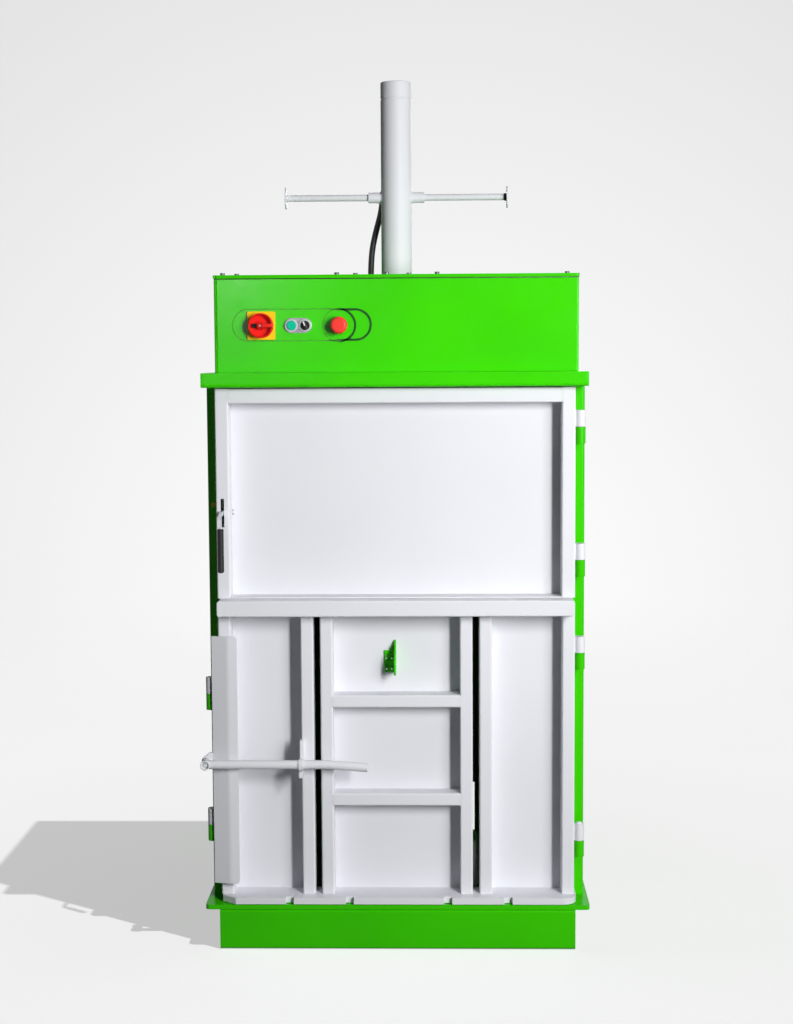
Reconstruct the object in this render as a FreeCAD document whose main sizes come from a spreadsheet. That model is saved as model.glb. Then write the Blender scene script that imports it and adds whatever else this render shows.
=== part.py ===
import FreeCAD, Part
import math
import os
import re

import Sketcher
from FreeCAD import Placement, Rotation, Vector

# Small vertical recycling baler: a welded frame with two front doors, a press plate that a
# hydraulic cylinder drives down, and a housing with the power pack and the controls on top.
# Millimetres. Z up, the front faces -Y, and the origin is on the ground under the middle of the base.

driving_sizes = {
    # base
    "base_inset": 25, "base_depth": 660, "skirt_height": 97,
    "channel_flange": 45, "channel_steel": 6, "channel_bend": 7, "bearer_width": 80,
    "floor_margin": 9, "floor_thickness": 11, "floor_corner": 10, "floor_bar_gap": 3,
    # frame
    "column_span": 896, "column_size": 60, "column_wall": 3, "column_bend": 6,
    "column_setback": 90, "rear_setback": 10, "column_top": 1337, "beam_wall": 4,
    "wall_steel": 5, "wall_rib_depth": 45, "wall_rib_height": 50, "wall_rib_low": 360,
    "wall_rib_pitch": 310,
    "rear_slot_top": 1250, "rear_rib_width": 30, "rear_rib_depth": 40,
    "beam_height": 34, "crossbeam_margin": 1.5, "crossbeam_round": 8,
    "press_beam_height": 100, "press_beam_width": 50, "press_beam_gap": 90,
    # cylinder and press plate
    "barrel_diameter": 76, "barrel_bore": 62, "barrel_bottom": 1376, "barrel_top": 2037,
    "cap_height": 41, "cap_round": 3, "seam_width": 3, "seam_depth": 1.5,
    "gland_height": 30, "piston_height": 40, "piston_rest_drop": 8,
    "ram_diameter": 40, "running_gap": 0.06, "flange_size": 190, "flange_thickness": 20, "flange_bolt_height": 12,
    "flange_bolt_diameter": 24,
    "platen_bottom": 1240, "platen_side_gap": 8, "platen_end_gap": 11, "platen_steel": 12,
    "platen_pad_height": 20, "platen_rib_height": 50, "platen_rib_steel": 10,
    "socket_diameter": 66, "socket_height": 50, "socket_floor": 4, "ram_pin_diameter": 16, "shoe_gap": 0.5,
    "shoe_length": 60, "shoe_height": 50, "shoe_width": 30, "platen_rib_end": 30,
    # strap reel arms and hose
    "arm_height": 1798, "arm_reach": 275, "arm_diameter": 16, "arm_socket_diameter": 26,
    "arm_socket_reach": 69, "reel_disc_diameter": 53, "reel_disc_steel": 3,
    "hose_diameter": 15, "port_diameter": 22, "port_offset": 31, "port_reach": 57, "port_height": 1798,
    "port_back": 5, "port_step": 3, "hose_gap": 0.95,
    # housing
    "housing_inset": 24.5, "housing_offset": 6, "housing_setback": 45, "housing_top": 1598,
    "housing_steel": 2.5, "housing_rear_setback": 20, "housing_bend": 5, "cover_overhang": 1.5,
    "cover_lip": 8, "cover_hole_gap": 4, "cover_bolt_diameter": 11,
    "cover_bolt_height": 6, "louvre_width": 120, "louvre_height": 8,
    "louvre_pitch": 24, "louvre_low": 50, "outer_bolt_left": 14.5, "second_bolt_left": 43.5, "outer_bolt_right": 24.5,
    # power pack
    "tank_width": 260, "tank_depth": 200, "tank_height": 120, "tank_round": 12, "tank_left": 110,
    "motor_diameter": 130, "motor_length": 195, "motor_foot": 4, "foot_inset": 20, "pump_size": 70, "pump_length": 80,
    "pump_right": 90, "valve_rise": 25,
    # controls
    "control_height": 1480.5, "isolator_inset": 107, "isolator_plate_size": 65.5, "isolator_plate_thickness": 4,
    "isolator_knob_diameter": 58, "spindle_diameter": 10, "isolator_knob_thickness": 13, "isolator_bar_width": 15,
    "isolator_bar_height": 17, "button_plate_step": 86, "button_plate_width": 64,
    "button_plate_height": 35, "button_plate_thickness": 3, "start_step": 15.5, "selector_step": 16.5,
    "bezel_diameter": 29.5, "bezel_height": 4, "button_diameter": 22, "button_height": 8, "button_round": 1.5,
    "selector_height": 16, "selector_bar_width": 7, "estop_step": 182, "estop_diameter": 40,
    "estop_height": 30, "estop_cap_height": 15, "estop_stem_diameter": 24, "press_gap": 0.3,
    # both doors and their hinges
    "door_inset": 26, "door_front": 33, "door_back": 88, "door_sheet": 3,
    "door_corner": 4, "strap_spacing": 377, "strap_slot": 16,
    "hinge_setback": 45, "hinge_diameter": 24, "hinge_pin_diameter": 12, "hinge_length": 39,
    "hinge_gap": 0.6, "hinge_leaf": 12, "pin_gap": 0.08,
    "upper_hinge_high": 1241.5, "upper_hinge_low": 928.5, "lower_hinge_high": 707.5, "lower_hinge_low": 254.5,
    # upper door
    "upper_top": 1334, "door_gap": 0.6, "top_rail_height": 35, "upper_stile": 32, "upper_flange": 3,
    "latch_inset": 15, "latch_slot_width": 8, "latch_slot_fall": 34, "latch_slot_rise": 33,
    "latch_pivot_setback": 60, "latch_pivot_rise": 203.4, "latch_steel": 6, "latch_pin_diameter": 8,
    "latch_neck": 10, "latch_gap": 0.5,
    "grip_diameter": 15.5, "grip_drop": 33, "grip_length": 104, "grip_setback": -10,
    # lower door
    "crossbar_top": 839, "crossbar_height": 38, "crossbar_inset": 3.5, "crossbar_front": -8,
    "crossbar_end": 7, "tube_width": 30, "tube_wall": 3,
    "centre_rail_height": 30, "centre_rail_low": 340, "centre_rail_high": 577.5,
    "lip_top": 125, "lip_thickness": 15.5, "lip_offset": 4, "lip_chamfer_width": 33, "lip_chamfer_depth": 25,
    "lip_round": 34, "notch_width": 19, "notch_depth": 13, "notch_inner": 234, "notch_outer": 520,
    "knife_x": -15, "knife_width": 28, "knife_bottom": 655, "knife_height": 52, "knife_steel": 5,
    "knife_blade_height": 78, "knife_hole_diameter": 6,
    # clamp bar and lever of the lower door's lock
    "lock_hinge_reach": 19.5, "lock_hinge_high": 611, "lock_hinge_low": 293,
    "lock_bar_top": 751, "lock_bar_bottom": 155, "lock_bar_steel": 6, "lock_bar_front": 14,
    "lock_bar_reach": 15, "lock_bar_wing": 39, "lock_bar_flat": 22, "lock_bar_fall": 10.5,
    "lock_bar_bend": 30, "lock_bar_corner": 8, "clamp_gap": 0.3, "clamp_strip_width": 18,
    "lever_height": 448, "lever_pivot_reach": 30, "lever_diameter": 21, "lever_bend": 200,
    "lever_eye_diameter": 23, "lever_eye_front": -12, "lever_sink": 6, "sink_margin": 5, "pin_proud": 1,
    "lever_straight_end": -160,
    "lever_end": -68, "lever_droop": 7, "lever_pin_diameter": 12, "lug_steel": 8,
    "keeper_inset": 1.5, "keeper_steel": 8, "keeper_rise": 54, "keeper_fall": 30, "keeper_front": -22,
    "keeper_back_depth": 18, "keeper_gap": 0.3, "collar_diameter": 27, "collar_length": 12,
}

following_sizes = {
    "base_width": "column_span - 2 * base_inset",
    "floor_width": "column_span + 2 * floor_margin",
    "crossbeam_width": "column_span + 2 * crossbeam_margin",
    "housing_width": "column_span - 2 * housing_inset",
    "door_width": "column_span - 2 * door_inset",
    "upper_bottom": "crossbar_top + door_gap",
    "isolator_x": "housing_offset - housing_width / 2 + isolator_inset",
    "button_plate_x": "isolator_x + button_plate_step",
    "start_x": "button_plate_x - start_step",
    "selector_x": "button_plate_x + selector_step",
    "estop_x": "isolator_x + estop_step",
    "latch_x": "latch_inset - door_width / 2",
    "latch_pivot_height": "upper_bottom + latch_pivot_rise",
    "latch_slot_bottom": "latch_pivot_height - latch_slot_fall",
    "latch_slot_top": "latch_pivot_height + latch_slot_rise",
    "grip_top": "latch_pivot_height - grip_drop",
    "grip_bottom": "grip_top - grip_length",
    "crossbar_length": "door_width - 2 * crossbar_inset",
    "lock_hinge_x": "-door_width / 2 - lock_hinge_reach",
    "lock_bar_left": "-door_width / 2 - lock_bar_reach",
    "lock_bar_fold": "lock_bar_left + lock_bar_wing",
    "lock_bar_right": "lock_bar_fold + lock_bar_flat",
    "lever_pivot_x": "-door_width / 2 - lever_pivot_reach",
    "keeper_x": "keeper_inset - strap_spacing / 2 - strap_slot / 2 - tube_width",
    "keeper_top": "lever_height + keeper_rise",
    "keeper_bottom": "lever_height - keeper_fall",
}

doc = FreeCAD.newDocument("recycling_baler")
sheet = doc.addObject("Spreadsheet::Sheet", "sizes")
cells = {**driving_sizes, **{alias: f"={formula}" for alias, formula in following_sizes.items()}}
for line, (alias, content) in enumerate(cells.items(), 1):
    sheet.set(f"A{line}", alias)
    sheet.set(f"B{line}", str(content))
    sheet.setAlias(f"B{line}", alias)
doc.recompute()

pieces = []


def bound(expression):
    """The expression with each size's name pointing at its cell of the sheet."""
    return re.sub(r"[a-z][a-z_]*", lambda word: "sizes." + word[0] if word[0] in cells
                  else word[0], str(expression))


def bind(thing, **expressions):
    for name, expression in expressions.items():
        thing.setExpression(name, bound(expression))


def bind_place(thing, x, y, z):
    for letter, expression in zip("xyz", (x, y, z)):
        thing.setExpression(f"Placement.Base.{letter}", bound(expression))


def keep(label, thing):
    """Name a finished piece, which gets a file of its own."""
    thing.Label = label
    pieces.append(thing)
    return thing


def box(name, x, y, z):
    """A block between two expressions on each axis."""
    block = doc.addObject("Part::Box", name)
    bind(block, Length=f"({x[1]}) - ({x[0]})", Width=f"({y[1]}) - ({y[0]})", Height=f"({z[1]}) - ({z[0]})")
    bind_place(block, x[0], y[0], z[0])
    return block


turns = {"Z": Rotation(), "X": Rotation(Vector(0, 1, 0), 90), "Y": Rotation(Vector(1, 0, 0), -90),
         "front": Rotation(Vector(1, 0, 0), 90), "left": Rotation(Vector(0, 1, 0), -90)}


def rod(name, along, start, length, diameter):
    """A round bar from the point start, along X, Y, Z, to the front or to the left."""
    bar = doc.addObject("Part::Cylinder", name)
    bar.Placement = Placement(Vector(), turns[along])
    bind(bar, Radius=f"({diameter}) / 2", Height=length)
    bind_place(bar, *start)
    return bar


def group(name, members):
    compound = doc.addObject("Part::Compound", name)
    compound.Links = members
    return compound


def fuse(name, members):
    joined = doc.addObject("Part::MultiFuse", name)
    joined.Shapes = members
    return joined


def cut(name, base, tools):
    result = doc.addObject("Part::Cut", name)
    result.Base = base
    result.Tool = tools[0] if len(tools) == 1 else fuse(f"{name}_tools", tools)
    return result


def mirror(name, source, normal=Vector(1, 0, 0)):
    copy = doc.addObject("Part::Mirroring", name)
    copy.Source = source
    copy.Normal = normal
    return copy


def pair(name, source):
    """A piece and its mirror image on the other side of the machine."""
    return group(name, [source, mirror(f"{name}_mirrored", source)])


def polygon_sketch(body, name, plane, corners, level):
    """A closed outline whose every corner is held by two expressions, on a plane of the body."""
    sketch = body.newObject("Sketcher::SketchObject", name)
    origin_plane = next(part for part in body.Origin.OriginFeatures if part.Role == f"{plane}_Plane")
    sketch.AttachmentSupport = (origin_plane, [""])
    sketch.MapMode = "FlatFace"
    sketch.setExpression("AttachmentOffset.Base.z", bound(level))
    count = len(corners)
    start = [Vector(math.cos(math.tau * i / count), math.sin(math.tau * i / count), 0) for i in range(count)]
    for i in range(count):
        sketch.addGeometry(Part.LineSegment(start[i], start[(i + 1) % count]), False)
    for i in range(count):
        sketch.addConstraint(Sketcher.Constraint("Coincident", i, 2, (i + 1) % count, 1))
    for i, corner in enumerate(corners):
        for kind, guess, expression in zip(("DistanceX", "DistanceY"), (start[i].x, start[i].y), corner):
            number = sketch.addConstraint(Sketcher.Constraint(kind, -1, 1, i, 1, guess))
            sketch.setExpression(f"Constraints[{number}]", bound(expression))
    return sketch


def prism(name, plane, corners, low, high):
    """An outline drawn on plane XY, XZ or YZ and padded from low to high along the third axis."""
    body = doc.addObject("PartDesign::Body", name)
    level = f"-({high})" if plane == "XZ" else low
    sketch = polygon_sketch(body, f"{name}_outline", plane, corners, level)
    pad = body.newObject("PartDesign::Pad", f"{name}_pad")
    pad.Profile = sketch
    bind(pad, Length=f"({high}) - ({low})")
    return body


def round_corners(body, corners, radius):
    """Fillet the straight edges that a prism has at the numbered corners of its outline."""
    doc.recompute()
    sketch, solid = body.Group[0], body.Tip
    places = [sketch.Placement.multVec(sketch.Geometry[i].StartPoint) for i in corners]
    normal = sketch.Placement.Rotation.multVec(Vector(0, 0, 1))
    names = []
    for number, edge in enumerate(solid.Shape.Edges, 1):
        ends = [vertex.Point for vertex in edge.Vertexes]
        if len(ends) < 2 or (ends[1] - ends[0]).cross(normal).Length > 1e-6:
            continue
        if any((ends[0] - place).cross(normal).Length < 1e-6 for place in places):
            names.append(f"Edge{number}")
    fillet = body.newObject("PartDesign::Fillet", f"{body.Name}_fillet")
    fillet.Base = (solid, names)
    bind(fillet, Radius=radius)
    return body


def turned(name, corners, place, along="Z"):
    """A revolved body: corners are (radius, height), and the axis points along X, Y, Z or to the front."""
    body = doc.addObject("PartDesign::Body", name)
    sketch = polygon_sketch(body, f"{name}_outline", "XZ", corners, "0")
    spin = body.newObject("PartDesign::Revolution", f"{name}_turn")
    spin.Profile = sketch
    spin.ReferenceAxis = (sketch, ["V_Axis"])
    spin.Angle = 360
    body.Placement = Placement(Vector(), turns[along])
    bind_place(body, *place)
    return body


def round_rims(body, corners, radius):
    """Fillet the round edges that a turned body has at the numbered corners of its outline."""
    doc.recompute()
    sketch, solid = body.Group[0], body.Tip
    names = []
    for number, edge in enumerate(solid.Shape.Edges, 1):
        if edge.Curve.TypeId != "Part::GeomCircle":
            continue
        for i in corners:
            point = sketch.Geometry[i].StartPoint
            if abs(edge.Curve.Radius - point.x) < 1e-6 and abs(edge.Curve.Center.z - point.y) < 1e-6:
                names.append(f"Edge{number}")
    fillet = body.newObject("PartDesign::Fillet", f"{body.Name}_fillet")
    fillet.Base = (solid, names)
    bind(fillet, Radius=radius)
    return body


def rectangle(a, b):
    """The four corners between two pairs of expressions."""
    return [(a[0], b[0]), (a[1], b[0]), (a[1], b[1]), (a[0], b[1])]


def square_tube(name, plane, a, b, low, high, wall, bend):
    """A rolled rectangular tube with round outer corners."""
    outer = round_corners(prism(f"{name}_outside", plane, rectangle(a, b), low, high), range(4), bend)
    inner_a = (f"({a[0]}) + {wall}", f"({a[1]}) - {wall}")
    inner_b = (f"({b[0]}) + {wall}", f"({b[1]}) - {wall}")
    return cut(name, outer, [prism(f"{name}_hollow", plane, rectangle(inner_a, inner_b), low, high)])


def drilled(name, outside, along, start, length, diameter):
    """The piece with one round hole through it."""
    return cut(name, outside, [rod(f"{name}_bore", along, start, length, diameter)])


def size(alias):
    return float(sheet.get(alias))


def rounded_path(points, radius=None):
    """Straight runs joined by arcs; without a radius, each arc is as large as its two runs allow."""
    edges, start = [], points[0]
    for before, corner, after in zip(points, points[1:], points[2:]):
        into, out = corner - before, after - corner
        half_turn = into.getAngle(out) / 2
        curve = radius or 0.45 * min(into.Length, out.Length) / math.tan(half_turn)
        print(f"bend of {curve:.0f} mm radius")
        into.normalize()
        out.normalize()
        run = curve * math.tan(half_turn)
        arc_start, arc_end = corner - into * run, corner + out * run
        middle = corner + (out - into).normalize() * (curve / math.cos(half_turn) - curve)
        edges += [Part.makeLine(start, arc_start), Part.Arc(arc_start, middle, arc_end).toShape()]
        start = arc_end
    return Part.Wire(edges + [Part.makeLine(start, points[-1])])


def swept_round(path, diameter):
    """A round solid along a wire that starts with a straight run."""
    edge = path.Edges[0]
    start = edge.valueAt(edge.FirstParameter)
    circle = Part.Wire(Part.makeCircle(diameter / 2, start, edge.tangentAt(edge.FirstParameter)))
    return path.makePipeShell([circle], True, True)


front = "-base_depth / 2"
back = "base_depth / 2"
floor_top = "(skirt_height + floor_thickness)"
column_front = f"({front} + column_setback)"
front_column_back = f"({column_front} + column_size)"
column_back = f"({back} - rear_setback)"
rear_column_front = f"({column_back} - column_size)"
column_in = "(column_span / 2 - column_size)"
deck_level = "(column_top + beam_height)"
beam_top = "(column_top + press_beam_height)"
slot_inner = "(strap_spacing / 2 - strap_slot / 2)"
slot_outer = "(strap_spacing / 2 + strap_slot / 2)"
crossbar_bottom = "(crossbar_top - crossbar_height)"
plate_top = "(platen_bottom + platen_pad_height + platen_steel)"

# Base and floor

channel_corners = [("0", "0"), ("channel_flange", "0"), ("channel_flange", "channel_steel"),
                   ("channel_steel", "channel_steel"), ("channel_steel", "skirt_height - channel_steel"),
                   ("channel_flange", "skirt_height - channel_steel"), ("channel_flange", "skirt_height"),
                   ("0", "skirt_height")]


def base_channels():
    """Four folded channels under the floor, with their webs outside, and a bearer down the middle."""
    across = [(f"{front} + {a}", b) for a, b in channel_corners]
    front_channel = prism("front_channel", "YZ", across, "-base_width / 2", "base_width / 2")
    round_corners(front_channel, (0, 7), "channel_bend")
    along = [(f"-base_width / 2 + {a}", b) for a, b in channel_corners]
    side_channel = prism("side_channel", "XZ", along, f"{front} + channel_flange", f"{back} - channel_flange")
    round_corners(side_channel, (0, 7), "channel_bend")
    bearer = square_tube("bearer", "XZ", ("-bearer_width / 2", "bearer_width / 2"), ("0", "skirt_height"),
                         f"{front} + channel_flange", f"{back} - channel_flange", "beam_wall", "column_bend")
    keep("base_channels", group("all_channels", [
        front_channel, mirror("rear_channel", front_channel, Vector(0, 1, 0)),
        side_channel, mirror("other_side_channel", side_channel), bearer]))


def floor():
    """The floor plate, and the bars on it that leave grooves for the straps."""
    plate = prism("floor_outline", "XY", rectangle(("-floor_width / 2", "floor_width / 2"), (front, back)),
                  "skirt_height", floor_top)
    keep("floor_plate", round_corners(plate, range(4), "floor_corner"))
    edges = ["-" + column_in, f"-{slot_outer}", f"-{slot_inner}", slot_inner, slot_outer, column_in]
    length = (f"{front} + door_back + floor_bar_gap", f"{rear_column_front}")
    bars = [box(f"floor_bar_{i}", (edges[2 * i], edges[2 * i + 1]), length, (floor_top, "lip_top"))
            for i in range(3)]
    keep("floor_bars", group("all_floor_bars", bars))


# Frame


def columns():
    """Four square tubes; the left one in front has the pocket that the latch's nose points at."""
    span = (column_in, "column_span / 2")
    height = (floor_top, "column_top")
    tube = ("column_wall", "column_bend")
    right = square_tube("front_column", "XY", span, (column_front, front_column_back), *height, *tube)
    rear = square_tube("rear_column", "XY", span, (rear_column_front, column_back), *height, *tube)
    pocket = box("strike_pocket", ("latch_x - latch_slot_width", "latch_x + latch_slot_width"),
                 (f"{column_front} - 1", f"{column_front} + 2 * column_wall"),
                 ("latch_slot_bottom", "latch_pivot_height + latch_slot_width"))
    left = cut("left_front_column", mirror("plain_left_column", right), [pocket])
    keep("columns", group("all_columns", [left, right, pair("rear_columns", rear)]))


def walls():
    """Sheets between the columns; the rear one has two slots for the straps."""
    side = box("right_wall", (column_in, f"{column_in} + wall_steel"), (front_column_back, rear_column_front),
               (floor_top, "column_top"))
    keep("side_walls", pair("both_side_walls", side))
    sheet_depth = (rear_column_front, f"{rear_column_front} + wall_steel")
    rear = box("whole_rear_wall", ("-" + column_in, column_in), sheet_depth, (floor_top, "column_top"))
    slot = box("rear_slot", (slot_inner, slot_outer), (f"{rear_column_front} - 1", f"{back}"),
               ("lip_top", "rear_slot_top"))
    keep("rear_wall", cut("slotted_rear_wall", rear, [slot, mirror("rear_slot_left", slot)]))


def wall_ribs():
    """Folded channels across the side walls, and tubes beside the rear slots."""
    wall_face = f"({column_in} + wall_steel)"
    ribs = []
    for i in range(3):
        low = f"(wall_rib_low + {i} * wall_rib_pitch)"
        high = f"({low} + wall_rib_height)"
        outer = f"({wall_face} + wall_rib_depth)"
        corners = [(wall_face, low), (outer, low), (outer, high), (wall_face, high),
                   (wall_face, f"{high} - column_wall"), (f"{outer} - column_wall", f"{high} - column_wall"),
                   (f"{outer} - column_wall", f"{low} + column_wall"), (wall_face, f"{low} + column_wall")]
        rib = prism(f"wall_rib_{i}", "XZ", corners, front_column_back, rear_column_front)
        ribs.append(round_corners(rib, (1, 2), "column_bend"))
    keep("side_ribs", pair("both_side_ribs", group("right_ribs", ribs)))
    depth = (f"{rear_column_front} + wall_steel", f"{rear_column_front} + wall_steel + rear_rib_depth")
    bars = []
    for name, span in (("inner", (f"{slot_inner} - rear_rib_width", slot_inner)),
                       ("outer", (slot_outer, f"{slot_outer} + rear_rib_width"))):
        bars.append(square_tube(f"rear_rib_{name}", "XY", span, depth, floor_top, "column_top",
                                "column_wall", "column_bend"))
    keep("rear_ribs", pair("both_rear_ribs", group("right_rear_ribs", bars)))


def top_beams():
    """The front crossbeam, and the side and rear beams that lie on the walls and columns."""
    reach = "(crossbeam_width / 2)"
    height = ("column_top", deck_level)
    beam = prism("beam_outside", "YZ", rectangle((front, front_column_back), height),
                 f"-{reach} + beam_wall", f"{reach} - beam_wall")
    round_corners(beam, (0,), "crossbeam_round")
    inner = rectangle((f"{front} + beam_wall", f"{front_column_back} - beam_wall"),
                      ("column_top + beam_wall", f"{deck_level} - beam_wall"))
    hollow = round_corners(prism("beam_hollow", "YZ", inner, f"-{reach}", reach), (0,), "beam_wall")
    end = prism("beam_end", "YZ", rectangle((front, front_column_back), height), f"{reach} - beam_wall", reach)
    round_corners(end, (0,), "crossbeam_round")
    keep("front_beam", group("front_beam_pieces", [cut("beam_tube", beam, [hollow]), pair("beam_ends", end)]))
    tube = ("beam_wall", "column_bend")
    side = square_tube("side_beam", "XZ", (column_in, "column_span / 2"), height, front_column_back,
                       rear_column_front, *tube)
    rear = square_tube("rear_beam", "YZ", (rear_column_front, column_back), height, "-column_span / 2",
                       "column_span / 2", *tube)
    keep("top_beams", group("side_and_rear_beams", [pair("side_beams", side), rear]))


def press_beams():
    """Two channels back to back across the frame, which carry the cylinder."""
    near = "(press_beam_gap / 2)"
    far = f"({near} + press_beam_width)"
    top = "(column_top + press_beam_height)"
    corners = [(near, "column_top"), (far, "column_top"), (far, "column_top + channel_steel"),
               (f"{near} + channel_steel", "column_top + channel_steel"),
               (f"{near} + channel_steel", f"{top} - channel_steel"), (far, f"{top} - channel_steel"),
               (far, top), (near, top)]
    beam = prism("rear_press_beam", "YZ", corners, "-" + column_in, column_in)
    round_corners(beam, (0, 7), "channel_bend")
    keep("press_beams", group("both_press_beams", [beam, mirror("front_press_beam", beam, Vector(0, 1, 0))]))


# Cylinder and press plate


def cylinder():
    """Barrel with a welded cap, the gland screwed in below, and the flange bolted to the press beams."""
    outer, inner = "barrel_diameter / 2", "barrel_bore / 2"
    cap_top = "(barrel_top + cap_height)"
    corners = [(inner, "barrel_bottom"), (outer, "barrel_bottom"), (outer, "barrel_top - seam_width"),
               ("barrel_diameter / 2 - seam_depth", "barrel_top"), (outer, "barrel_top + seam_width"),
               (outer, cap_top), ("0", cap_top), ("0", "barrel_top"), (inner, "barrel_top")]
    barrel = round_rims(turned("barrel", corners, ("0", "0", "0")), (5,), "cap_round")
    port = rod("port_hole", "left", ("0", "port_offset", "port_height"), "port_reach", "port_diameter / 3")
    keep("cylinder_barrel", cut("barrel_with_port", barrel, [port]))
    bottom = "(barrel_bottom - gland_height)"
    bore = "(ram_diameter / 2 + running_gap)"
    gland = [(bore, bottom), (outer, bottom), (outer, "barrel_bottom"), (inner, "barrel_bottom"),
             (inner, "barrel_bottom + piston_rest_drop"), (bore, "barrel_bottom + piston_rest_drop")]
    keep("cylinder_gland", turned("gland", gland, ("0", "0", "0")))
    low = "(column_top + press_beam_height)"
    plate = prism("flange_plate", "XY", rectangle(("-flange_size / 2", "flange_size / 2"),
                  ("-flange_size / 2", "flange_size / 2")), low, f"{low} + flange_thickness")
    bore_rod = rod("flange_bore", "Z", ("0", "0", low), "flange_thickness", "barrel_diameter")
    bolt_spot = "(press_beam_gap / 2 + press_beam_width / 2)"
    bolts = []
    for i, (side, end) in enumerate(((1, 1), (1, -1), (-1, 1), (-1, -1))):
        centre = (f"{side} * {bolt_spot}", f"{end} * {bolt_spot}")
        bolts.append(rod(f"flange_bolt_{i}", "Z", (*centre, f"{low} + flange_thickness"), "flange_bolt_height",
                         "flange_bolt_diameter"))
    plate_with_bore = cut("bored_flange", plate, [bore_rod])
    keep("cylinder_flange", group("flange_and_bolts", [plate_with_bore, *bolts]))


def ram():
    """Piston and rod in one, pinned into the socket of the press plate."""
    piston_top = "(barrel_top - piston_rest_drop)"
    piston_low = f"({piston_top} - piston_height)"
    foot = f"({plate_top} + socket_floor)"
    bore, radius = "(barrel_bore / 2 - running_gap)", "ram_diameter / 2"
    corners = [("0", foot), (radius, foot), (radius, piston_low), (bore, piston_low),
               (bore, piston_top), ("0", piston_top)]
    rod_body = turned("piston_and_rod", corners, ("0", "0", "0"))
    pin_height = f"({plate_top} + socket_height / 2)"
    pin = ("X", ("-socket_diameter / 2", "0", pin_height), "socket_diameter", "ram_pin_diameter")
    keep("ram", drilled("drilled_ram", rod_body, *pin))
    keep("ram_pin", rod("cross_pin", *pin))


def platen():
    """The press plate: pads with grooves for the straps, ribs, socket and guide shoes."""
    side = f"({column_in} - platen_side_gap)"
    near = f"({front} + door_back + platen_end_gap)"
    far = f"({rear_column_front} - platen_end_gap)"
    pad_top = "(platen_bottom + platen_pad_height)"
    edges = ["-" + side, f"-{slot_outer}", f"-{slot_inner}", slot_inner, slot_outer, side]
    pads = [box(f"platen_pad_{i}", (edges[2 * i], edges[2 * i + 1]), (near, far), ("platen_bottom", pad_top))
            for i in range(3)]
    plate = box("press_plate", ("-" + side, side), (near, far), (pad_top, plate_top))
    keep("platen_plate", fuse("plate_with_pads", [plate, *pads]))
    rib_height = (plate_top, f"{plate_top} + platen_rib_height")
    ribs = []
    for i, sign in enumerate(("-", "")):
        spot = f"({sign}socket_diameter / 2)"
        ribs.append(box(f"long_rib_{i}", (f"-{side} + shoe_height", f"{side} - shoe_height"),
                        (f"{spot} - platen_rib_steel / 2", f"{spot} + platen_rib_steel / 2"), rib_height))
    last_rib = f"({side} - shoe_height - platen_rib_end)"
    for i, spot in enumerate((f"(-{last_rib})", f"(-{last_rib} / 2)", f"({last_rib} / 2)", last_rib)):
        ribs.append(box(f"cross_rib_{i}", (f"{spot} - platen_rib_steel / 2", f"{spot} + platen_rib_steel / 2"),
                        (f"{near} + platen_rib_steel", f"{far} - platen_rib_steel"), rib_height))
    socket = rod("socket_outside", "Z", ("0", "0", plate_top), "socket_height", "socket_diameter")
    bore = rod("socket_bore", "Z", ("0", "0", f"{plate_top} + socket_floor"), "socket_height", "ram_diameter")
    pin_height = f"({plate_top} + socket_height / 2)"
    pin_bore = rod("socket_pin_bore", "X", ("-socket_diameter / 2", "0", pin_height), "socket_diameter",
                   "ram_pin_diameter")
    keep("platen_ribs", cut("ribs_and_socket", fuse("ribs", [*ribs, socket]), [bore, pin_bore]))
    shoes = []
    for i, spot in enumerate((front_column_back, f"(-{front_column_back} - shoe_length)")):
        shoe = box(f"shoe_{i}", (f"{column_in} - shoe_gap - shoe_width", f"{column_in} - shoe_gap"),
                   (spot, f"{spot} + shoe_length"),
                   (plate_top, f"{plate_top} + shoe_height"))
        shoes.append(shoe)
    keep("guide_shoes", pair("both_shoes", group("right_shoes", shoes)))


# Strap reels, hose and power pack


def reel_holder():
    """Sleeves welded to the barrel, and the arms in them that carry the strap reels."""
    sleeve = drilled("sleeve_tube", rod("sleeve_outside", "X", ("0", "0", "arm_height"), "arm_socket_reach",
                                        "arm_socket_diameter"),
                     "X", ("0", "0", "arm_height"), "arm_socket_reach", "arm_diameter")
    barrel = rod("barrel_outline", "Z", ("0", "0", "arm_height - barrel_diameter"), "2 * barrel_diameter",
                 "barrel_diameter")
    keep("reel_sleeves", pair("both_sleeves", cut("right_sleeve", sleeve, [barrel])))
    disc = "(arm_reach - reel_disc_steel)"
    corners = [("0", "barrel_diameter / 2 + shoe_gap"), ("arm_diameter / 2", "barrel_diameter / 2 + shoe_gap"),
               ("arm_diameter / 2", disc), ("reel_disc_diameter / 2", disc),
               ("reel_disc_diameter / 2", "arm_reach"), ("0", "arm_reach")]
    keep("reel_arms", pair("both_arms", turned("right_arm", corners, ("0", "0", "arm_height"), "X")))


hose_route = [Vector(-36.5, 31, 1785), Vector(-39.3, 31, 1762), Vector(-53, 31, 1715), Vector(-63, 31, 1668),
              Vector(-66, 31, 1610), Vector(-66, 31, 1565)]


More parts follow.
